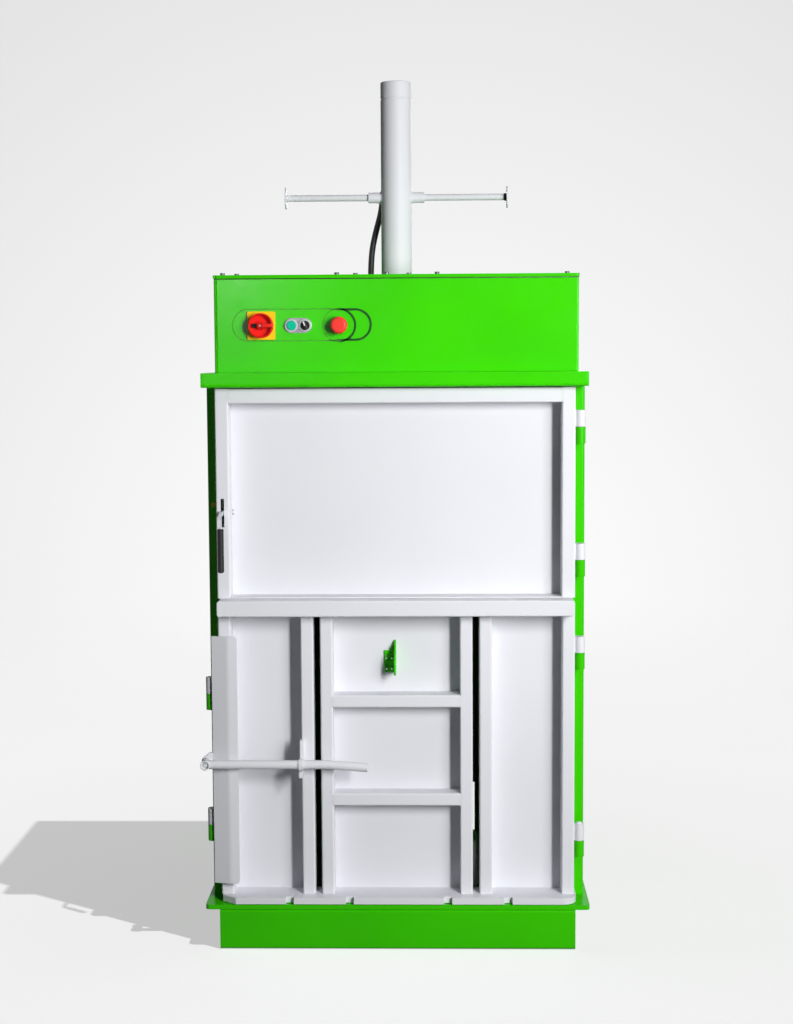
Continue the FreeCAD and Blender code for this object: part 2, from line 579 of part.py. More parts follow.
def hydraulics():
    """Port elbow, hose, and the pump with its motor and oil tank on the press beams."""
    path = rounded_path(hose_route)
    hose = doc.addObject("Part::Feature", "hose_tube")
    hose.Shape = swept_round(path, size("hose_diameter"))
    section = math.pi * size("hose_diameter") ** 2 / 4
    print(f"hose of {path.Length:.0f} mm, volume {hose.Shape.Volume:.0f} against {section * path.Length:.0f}")
    keep("hose", hose)
    head, foot = hose_route[0], hose_route[-1]
    boss = rod("port_boss", "left", ("0", "port_offset", "port_height"), "port_reach - port_back",
               "port_diameter")
    drop = rod("port_drop", "Z", (f"0 - {-head.x:g}", "port_offset", f"{head.z:g} + hose_gap"),
               f"port_height - {head.z:g} - hose_gap",
               "port_diameter - port_step")
    barrel = rod("barrel_copy", "Z", ("0", "0", "arm_height - barrel_diameter"), "2 * barrel_diameter",
                 "barrel_diameter")
    upper = cut("upper_fitting", fuse("elbow", [boss, drop]), [barrel])
    low = f"({beam_top} + pump_size + valve_rise)"
    lower = rod("lower_fitting", "Z", (f"0 - {-foot.x:g}", f"{foot.y:g}", low), f"{foot.z:g} - {low}",
                "port_diameter")
    keep("hose_fittings", group("both_fittings", [upper, lower]))


def power_pack():
    """Oil tank, motor and pump, on the press beams inside the housing."""
    tank = prism("tank_outline", "XY", rectangle(("tank_left", "tank_left + tank_width"),
                 ("-tank_depth / 2", "tank_depth / 2")), beam_top, f"{beam_top} + tank_height")
    keep("oil_tank", round_corners(tank, range(4), "tank_round"))
    axis = f"({beam_top} + motor_diameter / 2 + motor_foot)"
    outside = rod("motor_outside", "left", ("-pump_right - pump_length", "0", axis), "motor_length",
                  "motor_diameter")
    foot = box("motor_stand", ("-pump_right - pump_length - motor_length + foot_inset", "-pump_right - pump_length - foot_inset"),
               ("-motor_diameter / 3", "motor_diameter / 3"), (beam_top, axis))
    keep("motor", fuse("motor_and_foot", [outside, foot]))
    body = box("pump_body", ("-pump_right - pump_length", "-pump_right"), ("-pump_size / 2", "pump_size / 2"),
               (f"{axis} - pump_size / 2", f"{axis} + pump_size / 2"))
    block = box("valve_block", ("-pump_right - pump_size / 2", "-pump_right + pump_size / 2"),
                ("pump_size / 7", "pump_size * 5 / 7"), (f"{beam_top} + pump_size / 2", f"{beam_top} + pump_size + valve_rise"))
    keep("pump", fuse("pump_and_block", [body, block]))


# Housing and controls


housing_face = "(-base_depth / 2 + housing_setback)"
housing_sides = ("(housing_offset - housing_width / 2)", "(housing_offset + housing_width / 2)")


def housing():
    """Folded shell with the controls' holes, louvred rear panel, and the cover with its bolts."""
    left, right = housing_sides
    face = housing_face
    steel = "housing_steel"
    rear = f"({back} - housing_rear_setback)"
    shell_top = f"(housing_top - {steel})"
    corners = [(left, rear), (left, face), (right, face), (right, rear), (f"{right} - {steel}", rear),
               (f"{right} - {steel}", f"{face} + {steel}"), (f"{left} + {steel}", f"{face} + {steel}"),
               (f"{left} + {steel}", rear)]
    shell = prism("shell_outline", "XY", corners, deck_level, shell_top)
    round_corners(shell, (1, 2), "housing_bend")
    holes = []
    for name, x, hole in (("start", "start_x", "button_diameter + 2 * press_gap"),
                          ("selector", "selector_x", "button_diameter / 2"),
                          ("estop", "estop_x", "estop_stem_diameter + 2 * press_gap"),
                          ("isolator", "isolator_x", "spindle_diameter + 2 * press_gap")):
        holes.append(rod(f"{name}_hole", "Y", (x, f"{face} - housing_setback", "control_height"),
                         "2 * housing_setback", hole))
    keep("housing_shell", cut("shell_with_holes", shell, holes))
    panel = box("whole_rear_panel", (f"{left} + {steel}", f"{right} - {steel}"), (f"{rear} - {steel}", rear),
                (deck_level, shell_top))
    louvres = []
    for column in (-1, 1):
        for row in range(6):
            spot = f"(housing_offset + {column} * housing_width / 4)"
            low = f"({deck_level} + louvre_low + {row} * louvre_pitch)"
            louvres.append(box(f"louvre_{column + 1}_{row}", (f"{spot} - louvre_width / 2",
                           f"{spot} + louvre_width / 2"), (f"{rear} - 2 * {steel}", f"{rear} + {steel}"),
                               (low, f"{low} + louvre_height")))
    keep("housing_rear", cut("rear_panel", panel, louvres))


inner_bolt_spots = [(-135, 70), (-93, 110), (-18, 70), (34, 110), (100, 70)]


def top_cover():
    """The lid with its turned-down rim, a round hole for the cylinder and one for the hose."""
    left, right = (f"({end})" for end in (f"{housing_sides[0]} - cover_overhang", f"{housing_sides[1]} + cover_overhang"))
    near = f"({front} + housing_setback - cover_overhang)"
    far = f"({back} - housing_rear_setback + cover_overhang)"
    low = "(housing_top - cover_lip)"
    lid = prism("lid_outline", "XY", rectangle((left, right), (near, far)), low, "housing_top")
    round_corners(lid, (0, 1), "housing_bend + cover_overhang")
    inner = prism("lid_inside", "XY", rectangle((f"{left} + cover_overhang", f"{right} - cover_overhang"),
                  (f"{near} + cover_overhang", f"{far} - cover_overhang")), low, "housing_top - housing_steel")
    round_corners(inner, (0, 1), "housing_bend")
    cylinder_hole = rod("cylinder_hole", "Z", ("0", "0", low), "2 * cover_lip", "barrel_diameter + 2 * cover_hole_gap")
    foot = hose_route[-2]
    hose_hole = rod("hose_hole", "Z", (f"0 - {-foot.x:g}", f"{foot.y:g}", low), "2 * cover_lip",
                    "hose_diameter + 2 * cover_hole_gap")
    spots = [(f"0 - {-x}" if x < 0 else f"{x}", depth) for x, depth in inner_bolt_spots]
    spots += [(f"{housing_sides[0]} + outer_bolt_left", 70), (f"{housing_sides[0]} + second_bolt_left", 110),
              (f"{housing_sides[1]} - outer_bolt_right", 90)]
    holes, bolts = [], []
    for i, (x, depth) in enumerate(spots):
        place = (x, f"{front} + {depth}")
        holes.append(rod(f"bolt_hole_{i}", "Z", (*place, low), "2 * cover_lip", "cover_bolt_diameter / 2"))
        head = rod(f"bolt_head_{i}", "Z", (*place, "housing_top"), "cover_bolt_height", "cover_bolt_diameter")
        shank = rod(f"bolt_shank_{i}", "Z", (*place, low), "cover_lip", "cover_bolt_diameter / 2")
        bolts.append(fuse(f"bolt_{i}", [head, shank]))
    keep("top_cover", cut("lid", lid, [inner, cylinder_hole, hose_hole, *holes]))
    keep("cover_bolts", group("all_cover_bolts", bolts))


def isolator():
    """Main switch: square plate, and a round knob with a raised handle."""
    half = "isolator_plate_size / 2"
    plate_face = f"({housing_face} - isolator_plate_thickness)"
    plate = prism("isolator_outline", "XZ", rectangle((f"isolator_x - {half}", f"isolator_x + {half}"),
                  (f"control_height - {half}", f"control_height + {half}")), plate_face, housing_face)
    round_corners(plate, range(4), "isolator_plate_thickness")
    hole = ("Y", ("isolator_x", f"{plate_face} - 1", "control_height"), "isolator_plate_thickness + 2",
            "spindle_diameter + 2 * press_gap")
    keep("isolator_plate", drilled("plate_with_hole", plate, *hole))
    knob = "isolator_knob_diameter / 2"
    top = "(press_gap + isolator_knob_thickness)"
    corners = [("0", "-isolator_plate_thickness"), ("spindle_diameter / 2", "-isolator_plate_thickness"),
               ("spindle_diameter / 2", "press_gap"), (knob, "press_gap"), (knob, f"{top} - cap_round"),
               (f"{knob} - cap_round", top), ("0", top)]
    disc = turned("knob_disc", corners, ("isolator_x", plate_face, "control_height"), "front")
    bar_back = f"({plate_face} - press_gap - isolator_knob_thickness)"
    bar = prism("knob_bar", "XZ", rectangle((f"isolator_x - {knob}", f"isolator_x + {knob}"),
                ("control_height - isolator_bar_width / 2", "control_height + isolator_bar_width / 2")),
                f"{bar_back} - isolator_bar_height", f"{bar_back} + cap_round")
    round_corners(bar, range(4), "isolator_bar_width / 3")
    keep("isolator_knob", fuse("knob_and_bar", [disc, bar]))


def buttons():
    """Oblong plate with the start button and the key switch, and the stop button beside it."""
    plate_face = f"({housing_face} - button_plate_thickness)"
    width, height = "button_plate_width / 2", "button_plate_height / 2"
    plate = prism("button_outline", "XZ", rectangle((f"button_plate_x - {width}", f"button_plate_x + {width}"),
                  (f"control_height - {height}", f"control_height + {height}")), plate_face, housing_face)
    round_corners(plate, range(4), "button_plate_height / 2 - press_gap")
    holes = []
    for name, x, hole in (("start", "start_x", "button_diameter + 2 * press_gap"),
                          ("selector", "selector_x", "button_diameter / 2")):
        holes.append(rod(f"{name}_plate_hole", "Y", (x, f"{plate_face} - 1", "control_height"),
                         "button_plate_thickness + 2", hole))
    keep("button_plate", cut("plate_with_two_holes", plate, holes))
    bezels = []
    for name, x, bore, face, outside, height in (
            ("start", "start_x", "button_diameter / 2 + press_gap", plate_face, "bezel_diameter / 2", "bezel_height"),
            ("selector", "selector_x", "button_diameter / 4", plate_face, "bezel_diameter / 2", "bezel_height"),
            ("estop", "estop_x", "estop_stem_diameter / 2 + press_gap", housing_face,
             "estop_stem_diameter / 2 + bezel_height", "2 * bezel_height")):
        corners = [(bore, "0"), (outside, "0"), (outside, height), (bore, height)]
        bezels.append(turned(f"{name}_bezel", corners, (x, face, "control_height"), "front"))
    keep("control_bezels", group("all_bezels", bezels))
    place = ("start_x", plate_face, "control_height")
    radius = "button_diameter / 2"
    corners = [("0", "-button_plate_thickness"), (radius, "-button_plate_thickness"),
               (radius, "button_height - button_round"), (f"{radius} - button_round", "button_height"),
               ("0", "button_height")]
    keep("start_button", turned("start_cap", corners, place, "front"))
    place = ("selector_x", f"{plate_face} - bezel_height", "control_height")
    corners = [("0", "-bezel_height"), ("button_diameter / 4 - press_gap", "-bezel_height"),
               ("button_diameter / 4 - press_gap", "press_gap"), (radius, "press_gap"),
               (radius, "selector_height / 2 - button_round"), (f"{radius} - button_round", "selector_height / 2"),
               ("0", "selector_height / 2")]
    disc = turned("selector_disc", corners, place, "front")
    bar_back = f"({plate_face} - bezel_height - selector_height / 2)"
    bar = prism("selector_bar", "XZ", rectangle(("selector_x - selector_bar_width / 2",
                "selector_x + selector_bar_width / 2"), ("control_height - button_diameter / 2 + button_round",
                "control_height + button_diameter / 2 - button_round")),
                f"{bar_back} - selector_height / 2", f"{bar_back} + button_round")
    keep("selector_knob", fuse("selector", [disc, round_corners(bar, range(4), "button_round")]))
    stem, cap = "estop_stem_diameter / 2", "estop_diameter / 2"
    cap_back = "(estop_height - estop_cap_height)"
    corners = [("0", "press_gap"), (stem, "press_gap"), (stem, cap_back), (cap, cap_back),
               (cap, "estop_height"), ("0", "estop_height")]
    head = turned("estop_mushroom", corners, ("estop_x", housing_face, "control_height"), "front")
    keep("estop_head", round_rims(head, (4,), "estop_cap_height / 2"))


# Hinges

door_axis = "(door_width / 2 + hinge_diameter / 2)"
hinge_line = "(-base_depth / 2 + hinge_setback)"
hinge_levels = {"upper_door": ("upper_hinge_high", "upper_hinge_low"),
                "lower_door": ("lower_hinge_high", "lower_hinge_low")}


def frame_hinge(name, x, level, bored):
    """A barrel below the split level, with a leaf to the column behind it."""
    low = f"({level} - hinge_length)"
    barrel = rod(f"{name}_barrel", "Z", (x, hinge_line, low), "hinge_length - hinge_gap / 2", "hinge_diameter")
    leaf = box(f"{name}_leaf", (f"{x} - hinge_leaf / 2", f"{x} + hinge_leaf / 2"), (hinge_line, column_front),
               (low, f"{level} - hinge_gap / 2"))
    hinge = fuse(name, [barrel, leaf])
    if not bored:
        return hinge
    return drilled(f"{name}_bored", hinge, "Z", (x, hinge_line, low), "hinge_length",
                   "hinge_pin_diameter + 2 * pin_gap")


def hinges():
    """The frame's halves of all hinges, and the pins of the two doors."""
    halves, pins = [], []
    for door, levels in hinge_levels.items():
        for i, level in enumerate(levels):
            halves.append(frame_hinge(f"{door}_hinge_{i}", door_axis, level, True))
            pins.append(rod(f"{door}_pin_{i}", "Z", (door_axis, hinge_line, f"{level} - hinge_length"),
                            "2 * hinge_length", "hinge_pin_diameter"))
    for i, level in enumerate(("lock_hinge_high", "lock_hinge_low")):
        halves.append(frame_hinge(f"lock_hinge_{i}", "lock_hinge_x", level, False))
    keep("frame_hinges", group("all_frame_hinges", halves))
    keep("hinge_pins", group("all_pins", pins))


def door_barrels(door):
    """The door's halves of its hinges, tangent to its side."""
    barrels = []
    for i, level in enumerate(hinge_levels[door]):
        low = f"({level} + hinge_gap / 2)"
        length = "hinge_length - hinge_gap / 2"
        barrel = rod(f"{door}_barrel_{i}", "Z", (door_axis, hinge_line, low), length, "hinge_diameter")
        leaf = box(f"{door}_web_{i}", ("door_width / 2", door_axis), (f"{hinge_line} - hinge_leaf / 2",
                   f"{hinge_line} + hinge_leaf / 2"), (low, f"{level} + hinge_length"))
        barrels.append(drilled(f"{door}_bored_{i}", fuse(f"{door}_half_{i}", [barrel, leaf]), "Z",
                               (door_axis, hinge_line, low), "hinge_length", "hinge_pin_diameter + 2 * pin_gap"))
    keep(f"{door}_barrels", group(f"{door}_both_barrels", barrels))


# Upper door

door_face = "(-base_depth / 2 + door_front)"
sheet_back = "(-base_depth / 2 + door_back)"
sheet_face = f"({sheet_back} - door_sheet)"
latch_slot_span = ("latch_x - latch_slot_width / 2", "latch_x + latch_slot_width / 2")


def upper_door():
    """Folded stiles and top rail with a flange below, in front of one sheet."""
    inner = "(door_width / 2 - upper_stile)"
    height = ("upper_bottom", "upper_top")
    right = square_tube("upper_right_stile", "XY", (inner, "door_width / 2"), (door_face, sheet_face), *height,
                        "door_sheet", "door_corner")
    slot = box("latch_slot", latch_slot_span, (f"{door_face} - 1", f"{sheet_back} + 1"),
               ("latch_slot_bottom", "latch_slot_top"))
    pin_hole = rod("latch_pin_hole", "X", ("-door_width / 2", latch_line, "latch_pivot_height"), "upper_stile",
                   "latch_pin_diameter")
    left = cut("upper_left_stile", mirror("plain_upper_stile", right), [slot, pin_hole])
    rail = square_tube("upper_rail", "YZ", (door_face, sheet_face), ("upper_top - top_rail_height", "upper_top"),
                       "-" + inner, inner, "door_sheet", "door_corner")
    flange = box("upper_flange", ("-" + inner, inner), (door_face, sheet_face),
                 ("upper_bottom", "upper_bottom + upper_flange"))
    keep("upper_door_frame", group("upper_frame_pieces", [left, right, rail, flange]))
    whole = box("upper_sheet", ("-door_width / 2", "door_width / 2"), (sheet_face, sheet_back), height)
    keep("upper_door_sheet", cut("upper_sheet_with_slot", whole, [slot]))


latch_line = "(-base_depth / 2 + latch_pivot_setback)"


def latch():
    """A plate on a cross pin in the left stile: its nose points at the column, its grip hangs in front."""
    pivot = "latch_pivot_height"
    grip = f"({front} + grip_setback)"
    nose = f"({column_front} - latch_gap)"
    half = "latch_neck / 2"
    corners = [(nose, f"{pivot} - 3 * latch_neck / 2"), (nose, f"{pivot} - {half}"),
               (f"{latch_line} + latch_neck", f"{pivot} + latch_neck"), (f"{latch_line} - latch_neck", f"{pivot} + latch_neck"),
               (f"{latch_line} - 2 * latch_neck", f"{pivot} + {half}"), (f"{grip} - {half}", f"{pivot} + {half}"),
               (f"{grip} - {half}", f"grip_top - 2 * latch_neck"), (f"{grip} + {half}", f"grip_top - 2 * latch_neck"),
               (f"{grip} + {half}", f"{pivot} - {half}"), (f"{latch_line} - 2 * latch_neck", f"{pivot} - {half}"),
               (f"{latch_line} - latch_neck", f"{pivot} - 3 * latch_neck / 2")]
    plate = prism("latch_plate", "YZ", corners, "latch_x - latch_steel / 2", "latch_x + latch_steel / 2")
    round_corners(plate, (5,), "latch_neck * 0.9")
    hole = ("X", ("latch_x - latch_steel", latch_line, pivot), "2 * latch_steel", "latch_pin_diameter + 2 * pin_gap")
    keep("latch_handle", drilled("latch_with_hole", plate, *hole))
    keep("latch_pin", rod("latch_cross_pin", "X", ("-door_width / 2", latch_line, pivot), "upper_stile",
                          "latch_pin_diameter"))
    radius = "grip_diameter / 2"
    middle = "(grip_top + grip_bottom) / 2"
    corners = [("0", "grip_bottom"), (f"{radius} - cap_round", "grip_bottom"), (radius, "grip_bottom + cap_round"),
               (f"{radius} * 0.94", middle), (radius, "grip_top - cap_round"),
               (f"{radius} - cap_round", "grip_top"), ("0", "grip_top")]
    handle = turned("grip_outside", corners, ("latch_x", grip, "0"))
    tang = box("tang_hole", ("latch_x - latch_steel / 2", "latch_x + latch_steel / 2"),
               (f"{grip} - {half}", f"{grip} + {half}"), ("grip_top - 2 * latch_neck", "grip_top + 1"))
    keep("latch_grip", cut("grip_with_tang_hole", handle, [tang]))


# Lower door


def tube_upright(name, left, right):
    """A rectangular tube from the bottom lip to the crossbar."""
    return square_tube(name, "XY", (left, right), (door_face, sheet_face), "lip_top", crossbar_bottom,
                       "tube_wall", "door_corner")


def lower_frame():
    """Stiles, the rails beside the strap slots, two centre rails and the crossbar that ties them."""
    keep("lower_door_stiles", pair("lower_stiles", tube_upright("lower_right_stile",
         "door_width / 2 - tube_width", "door_width / 2")))
    inner = tube_upright("inner_slot_rail", f"{slot_inner} - tube_width", slot_inner)
    outer = tube_upright("outer_slot_rail", slot_outer, f"{slot_outer} + tube_width")
    keep("slot_rails", pair("both_slot_rails", group("right_slot_rails", [inner, outer])))
    side = f"({slot_inner} - tube_width)"
    rails = [square_tube(f"centre_rail_{i}", "YZ", (door_face, sheet_face), (low, f"{low} + centre_rail_height"),
                         "-" + side, side, "tube_wall", "door_corner")
             for i, low in enumerate(("centre_rail_low", "centre_rail_high"))]
    keep("centre_rails", group("both_centre_rails", rails))
    depth = (f"{front} + crossbar_front", sheet_back)
    height = (crossbar_bottom, "crossbar_top")
    reach = "(crossbar_length / 2)"
    cap = "(crossbar_end)"
    bar = square_tube("crossbar_tube", "YZ", depth, height, f"-{reach} + {cap}", f"{reach} - {cap}",
                      "tube_wall", "door_corner")
    end = prism("crossbar_cap", "XZ", rectangle((f"{reach} - {cap}", reach), height), *depth)
    round_corners(end, (1, 2), "crossbar_end * 0.95")
    keep("crossbar", group("crossbar_pieces", [bar, pair("crossbar_caps", end)]))


def bottom_lip():
    """The thick lip under the lower door, with a cut corner, a round one and four notches."""
    left, right = "(lip_offset - door_width / 2)", "(lip_offset + door_width / 2)"
    corners = [(left, sheet_back), (left, f"{front} + lip_chamfer_depth"), (f"{left} + lip_chamfer_width", front),
               (right, front), (right, sheet_back)]
    plate = prism("lip_outline", "XY", corners, "lip_top - lip_thickness", "lip_top")
    round_corners(plate, (3,), "lip_round")
    notches = []
    for side in (-1, 1):
        for spacing in ("notch_inner", "notch_outer"):
            spot = f"(lip_offset + {side} * {spacing} / 2)"
            notches.append(box(f"{spacing}_{side + 1}", (f"{spot} - notch_width / 2", f"{spot} + notch_width / 2"),
                               (f"{front} - 1", f"{front} + notch_depth"), (floor_top, "lip_top + 1")))
    keep("bottom_lip", cut("notched_lip", plate, notches))


def lower_sheets():
    """Three sheets, parted by the two strap slots."""
    height = ("lip_top", crossbar_bottom)
    centre = box("centre_sheet", ("-" + slot_inner, slot_inner), (sheet_face, sheet_back), height)
    side = box("side_sheet", (slot_outer, "door_width / 2"), (sheet_face, sheet_back), height)
    keep("lower_door_sheets", group("three_sheets", [centre, pair("side_sheets", side)]))


def knife_bracket():
    """A small plate with four holes, whose pointed upper edge guides the strap to the knife."""
    left, right = "knife_x - knife_width / 2", "knife_x + knife_width / 2"
    corners = [(left, "knife_bottom"), (right, "knife_bottom"), (right, "knife_bottom + knife_blade_height"),
               ("knife_x", "knife_bottom + knife_height"), (left, "knife_bottom + knife_height")]
    plate = prism("knife_outline", "XZ", corners, f"{sheet_face} - knife_steel", sheet_face)
    holes = []
    for i, (x, z) in enumerate(((1, 1), (3, 1), (1, 3), (3, 3))):
        place = (f"{left} + {x} * knife_width / 4", f"{sheet_face} - 2 * knife_steel",
                 f"knife_bottom + {z} * knife_height / 4")
        holes.append(rod(f"knife_hole_{i}", "Y", place, "2 * knife_steel", "knife_hole_diameter"))
    keep("knife_bracket", cut("knife_plate", plate, holes))


# Lock of the lower door

lock_left_depth = "(lock_bar_front + lock_bar_fall)"


def lock_bar():
    """A bent clamp bar in front of the left stile, with the strip that bears on it and its barrels."""
    depth = f"({front} + lock_bar_front)"
    left = f"({front} + {lock_left_depth})"
    corners = [("lock_bar_left", left), ("lock_bar_fold", depth), ("lock_bar_right", depth),
               ("lock_bar_right", f"{depth} + lock_bar_steel"), ("lock_bar_fold", f"{depth} + lock_bar_steel"),
               ("lock_bar_left", f"{left} + lock_bar_steel")]
    bent = prism("bent_bar", "XY", corners, "lock_bar_bottom", "lock_bar_top")
    round_corners(bent, (1, 4), "lock_bar_bend")
    outline = rectangle(("lock_bar_left", "lock_bar_right"), ("lock_bar_bottom", "lock_bar_top"))
    blank = prism("bar_blank", "XZ", outline, f"{front}", f"{front} + hinge_setback")
    round_corners(blank, (1, 2), "lock_bar_corner")
    bar = doc.addObject("Part::MultiCommon", "rounded_bar")
    bar.Shapes = [bent, blank]
    keep("lock_bar", bar)
    stile_in = "(-door_width / 2 + tube_width)"
    strip = box("strip_blank", (f"{stile_in} - clamp_strip_width", stile_in), (f"{depth} + lock_bar_steel",
                f"{door_face} - clamp_gap"), ("lock_bar_bottom + lock_bar_corner", "lock_bar_top - lock_bar_corner"))
    keep("clamp_strip", cut("strip", strip, [bar]))
    barrels = []
    for i, level in enumerate(("lock_hinge_high", "lock_hinge_low")):
        low = f"({level} + hinge_gap / 2)"
        barrel = rod(f"lock_barrel_{i}", "Z", ("lock_hinge_x", hinge_line, low), "hinge_length - hinge_gap / 2",
                     "hinge_diameter")
        web = box(f"lock_web_{i}", ("lock_bar_left", "lock_bar_left + lock_bar_steel"),
                  (left, hinge_line), (low, f"{level} + hinge_length"))
        barrels.append(cut(f"lock_half_{i}", fuse(f"lock_barrel_and_web_{i}", [barrel, web]), [bar]))
    keep("lock_barrels", group("both_lock_barrels", barrels))


def lever():
    """Lug on the clamp bar, its pin, and the drop lever with a collar that lies in the keeper."""
    eye = "lever_eye_diameter / 2"
    lug_low = f"({front} + {lock_left_depth})"
    top = "(lever_height + lever_eye_diameter)"
    corners = [("lock_bar_left", f"lever_height - {eye}"), ("lock_bar_left", top),
               (f"lock_bar_left - lug_steel", top), (f"lever_pivot_x - {eye}", "lever_height + lug_steel"),
               (f"lever_pivot_x - {eye}", f"lever_height - {eye}")]
    lug = round_corners(prism("lug_outline", "XZ", corners, lug_low, f"{lug_low} + lug_steel"), (4,),
                        "lever_eye_diameter / 3")
    pin_front = f"({front} + lever_eye_front + lever_sink - pin_proud)"
    pin = ("Y", ("lever_pivot_x", pin_front, "lever_height"), f"{lug_low} + lug_steel - {pin_front}",
           "lever_pin_diameter")
    keep("lever_lug", drilled("lug", lug, *pin))
    keep("lever_pin", rod("pivot_pin", *pin))
    eye_front = f"({front} + lever_eye_front)"
    length = f"({lug_low} - press_gap - {eye_front})"
    boss = rod("lever_eye", "Y", ("lever_pivot_x", eye_front, "lever_height"), length, "lever_eye_diameter")
    start = Vector(size("lever_pivot_x"), -size("base_depth") / 2, size("lever_height"))
    bend = Vector(size("lever_straight_end"), start.y, start.z)
    end = Vector(size("lever_end"), start.y, start.z - size("lever_droop"))
    bar = doc.addObject("Part::Feature", "lever_rod")
    bar.Shape = swept_round(rounded_path([start, bend, end], size("lever_bend")), size("lever_diameter"))
    collar = rod("lever_collar", "X", ("keeper_x - collar_length / 2", front, "lever_height"), "collar_length",
                 "collar_diameter")
    bore = rod("lever_bore", "Y", ("lever_pivot_x", eye_front, "lever_height"), length,
               "lever_pin_diameter + 2 * pin_gap")
    sink = rod("lever_sinking", "Y", ("lever_pivot_x", eye_front, "lever_height"), "lever_sink",
               "lever_pin_diameter + sink_margin")
    keep("lever", cut("drop_lever", fuse("lever_pieces", [boss, bar, collar]), [bore, sink]))


def lever_keeper():
    """A plate on the slot rail whose open corner holds the lever's collar."""
    rest = "(lever_height - collar_diameter / 2 - keeper_gap)"
    stop = f"({door_face} - keeper_back_depth)"
    tip = f"({front} + keeper_front)"
    corners = [(door_face, "keeper_bottom"), (tip, "keeper_bottom"), (tip, rest), (stop, rest),
               (stop, "keeper_top"), (door_face, "keeper_top")]
    plate = prism("keeper_outline", "YZ", corners, "keeper_x - keeper_steel / 2", "keeper_x + keeper_steel / 2")
    keep("lever_keeper", round_corners(plate, (1, 4), "keeper_steel * 0.8"))


base_channels()
floor()
columns()
walls()
wall_ribs()
top_beams()
press_beams()
cylinder()
ram()
platen()
reel_holder()
hydraulics()
power_pack()
housing()
top_cover()
isolator()
buttons()
hinges()
upper_door()
door_barrels("upper_door")
latch()
lower_frame()
bottom_lip()
lower_sheets()
knife_bracket()
door_barrels("lower_door")
lock_bar()
lever()
lever_keeper()
doc.recompute()

faults = [thing.Label for thing in doc.Objects if {"Invalid", "Error"} & set(thing.State)]
faults += [piece.Label for piece in pieces if piece.Shape.isNull() or not piece.Shape.isValid()]
if faults:
    raise RuntimeError("these did not build: " + ", ".join(faults))
os.makedirs("parts", exist_ok=True)
for piece in pieces:
    piece.Shape.exportStep(f"parts/{piece.Label}.step")
print(f"{len(pieces)} pieces")
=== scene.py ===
import math

import bmesh
import bpy
from mathutils import Matrix, Vector


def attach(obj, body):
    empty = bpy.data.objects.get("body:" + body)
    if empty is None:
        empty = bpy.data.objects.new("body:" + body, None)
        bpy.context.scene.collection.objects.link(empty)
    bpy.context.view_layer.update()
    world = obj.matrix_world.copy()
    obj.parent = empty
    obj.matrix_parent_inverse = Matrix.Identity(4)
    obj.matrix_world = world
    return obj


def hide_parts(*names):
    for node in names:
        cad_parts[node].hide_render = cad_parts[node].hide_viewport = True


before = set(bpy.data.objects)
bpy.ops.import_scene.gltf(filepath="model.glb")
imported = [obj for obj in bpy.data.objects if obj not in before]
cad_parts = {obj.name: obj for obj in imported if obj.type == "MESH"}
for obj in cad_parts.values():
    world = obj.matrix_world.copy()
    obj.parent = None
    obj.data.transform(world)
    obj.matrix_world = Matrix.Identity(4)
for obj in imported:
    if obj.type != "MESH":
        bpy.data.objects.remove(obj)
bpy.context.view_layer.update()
print("frame loaded:", len(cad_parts), "nodes")

# the studio and the grain of the finishes are in metres, the pieces' own sizes in millimetres

# camera at standing height, a little right of the middle, looking down 5 degrees
cameraView = {
    "place": (0.100, -4.364, 1.419), "turnedLeft": 1.369, "lookingDown": 5.271, "roll": 0.334,
    "lens": 61.2, "sensor": 36.0, "clipEnd": 60,
}
cameraData = bpy.data.cameras.new("photoCamera")
cameraData.sensor_fit = "VERTICAL"
cameraData.sensor_height = cameraView["sensor"]
cameraData.lens = cameraView["lens"]
cameraData.clip_end = cameraView["clipEnd"]
camera = bpy.data.objects.new("photoCamera", cameraData)
bpy.context.scene.collection.objects.link(camera)
camera.matrix_world = (
    Matrix.Translation(cameraView["place"])
    @ Matrix.Rotation(math.radians(cameraView["turnedLeft"]), 4, "Z")
    @ Matrix.Rotation(math.radians(90 - cameraView["lookingDown"]), 4, "X")
    @ Matrix.Rotation(math.radians(-cameraView["roll"]), 4, "Z")
)
bpy.context.scene.camera = camera
print("camera placed")


# sRGB hex to the linear colour that a shader takes
def hexColour(text):
    parts = [int(text[i : i + 2], 16) / 255 for i in (1, 3, 5)]
    return tuple(p / 12.92 if p <= 0.04045 else ((p + 0.055) / 1.055) ** 2.4 for p in parts) + (1.0,)


# settings are the node's own properties, values and links what its inputs hold or are joined to
def addNode(tree, kind, settings=None, values=None, links=None):
    node = tree.nodes.new(kind)
    for name, value in (settings or {}).items():
        setattr(node, name, value)
    for name, value in (values or {}).items():
        node.inputs[name].default_value = value
    for name, source in (links or {}).items():
        tree.links.new(source, node.inputs[name])
    return node


def emptyMaterial(name):
    material = bpy.data.materials.new(name)
    material.use_nodes = True
    material.node_tree.nodes.clear()
    return material, material.node_tree


wholeSpan = (0.0, 1.0)
bevelSamples = 4


def objectPlace(tree):
    return addNode(tree, "ShaderNodeTexCoord").outputs["Object"]


def noise(tree, place, scale, detail, roughness=0.5):
    values = {"Scale": scale, "Detail": detail, "Roughness": roughness}
    return addNode(tree, "ShaderNodeTexNoise", None, values, {"Vector": place}).outputs["Fac"]


# turns one span of a value into another, and holds it at the ends
def remap(tree, value, span, result=wholeSpan, interpolation="LINEAR"):
    values = {"From Min": span[0], "From Max": span[1], "To Min": result[0], "To Max": result[1]}
    settings = {"interpolation_type": interpolation}
    return addNode(tree, "ShaderNodeMapRange", settings, values, {"Value": value}).outputs["Result"]


def combine(tree, operation, one, two):
    return addNode(tree, "ShaderNodeMath", {"operation": operation}, None, {0: one, 1: two}).outputs["Value"]


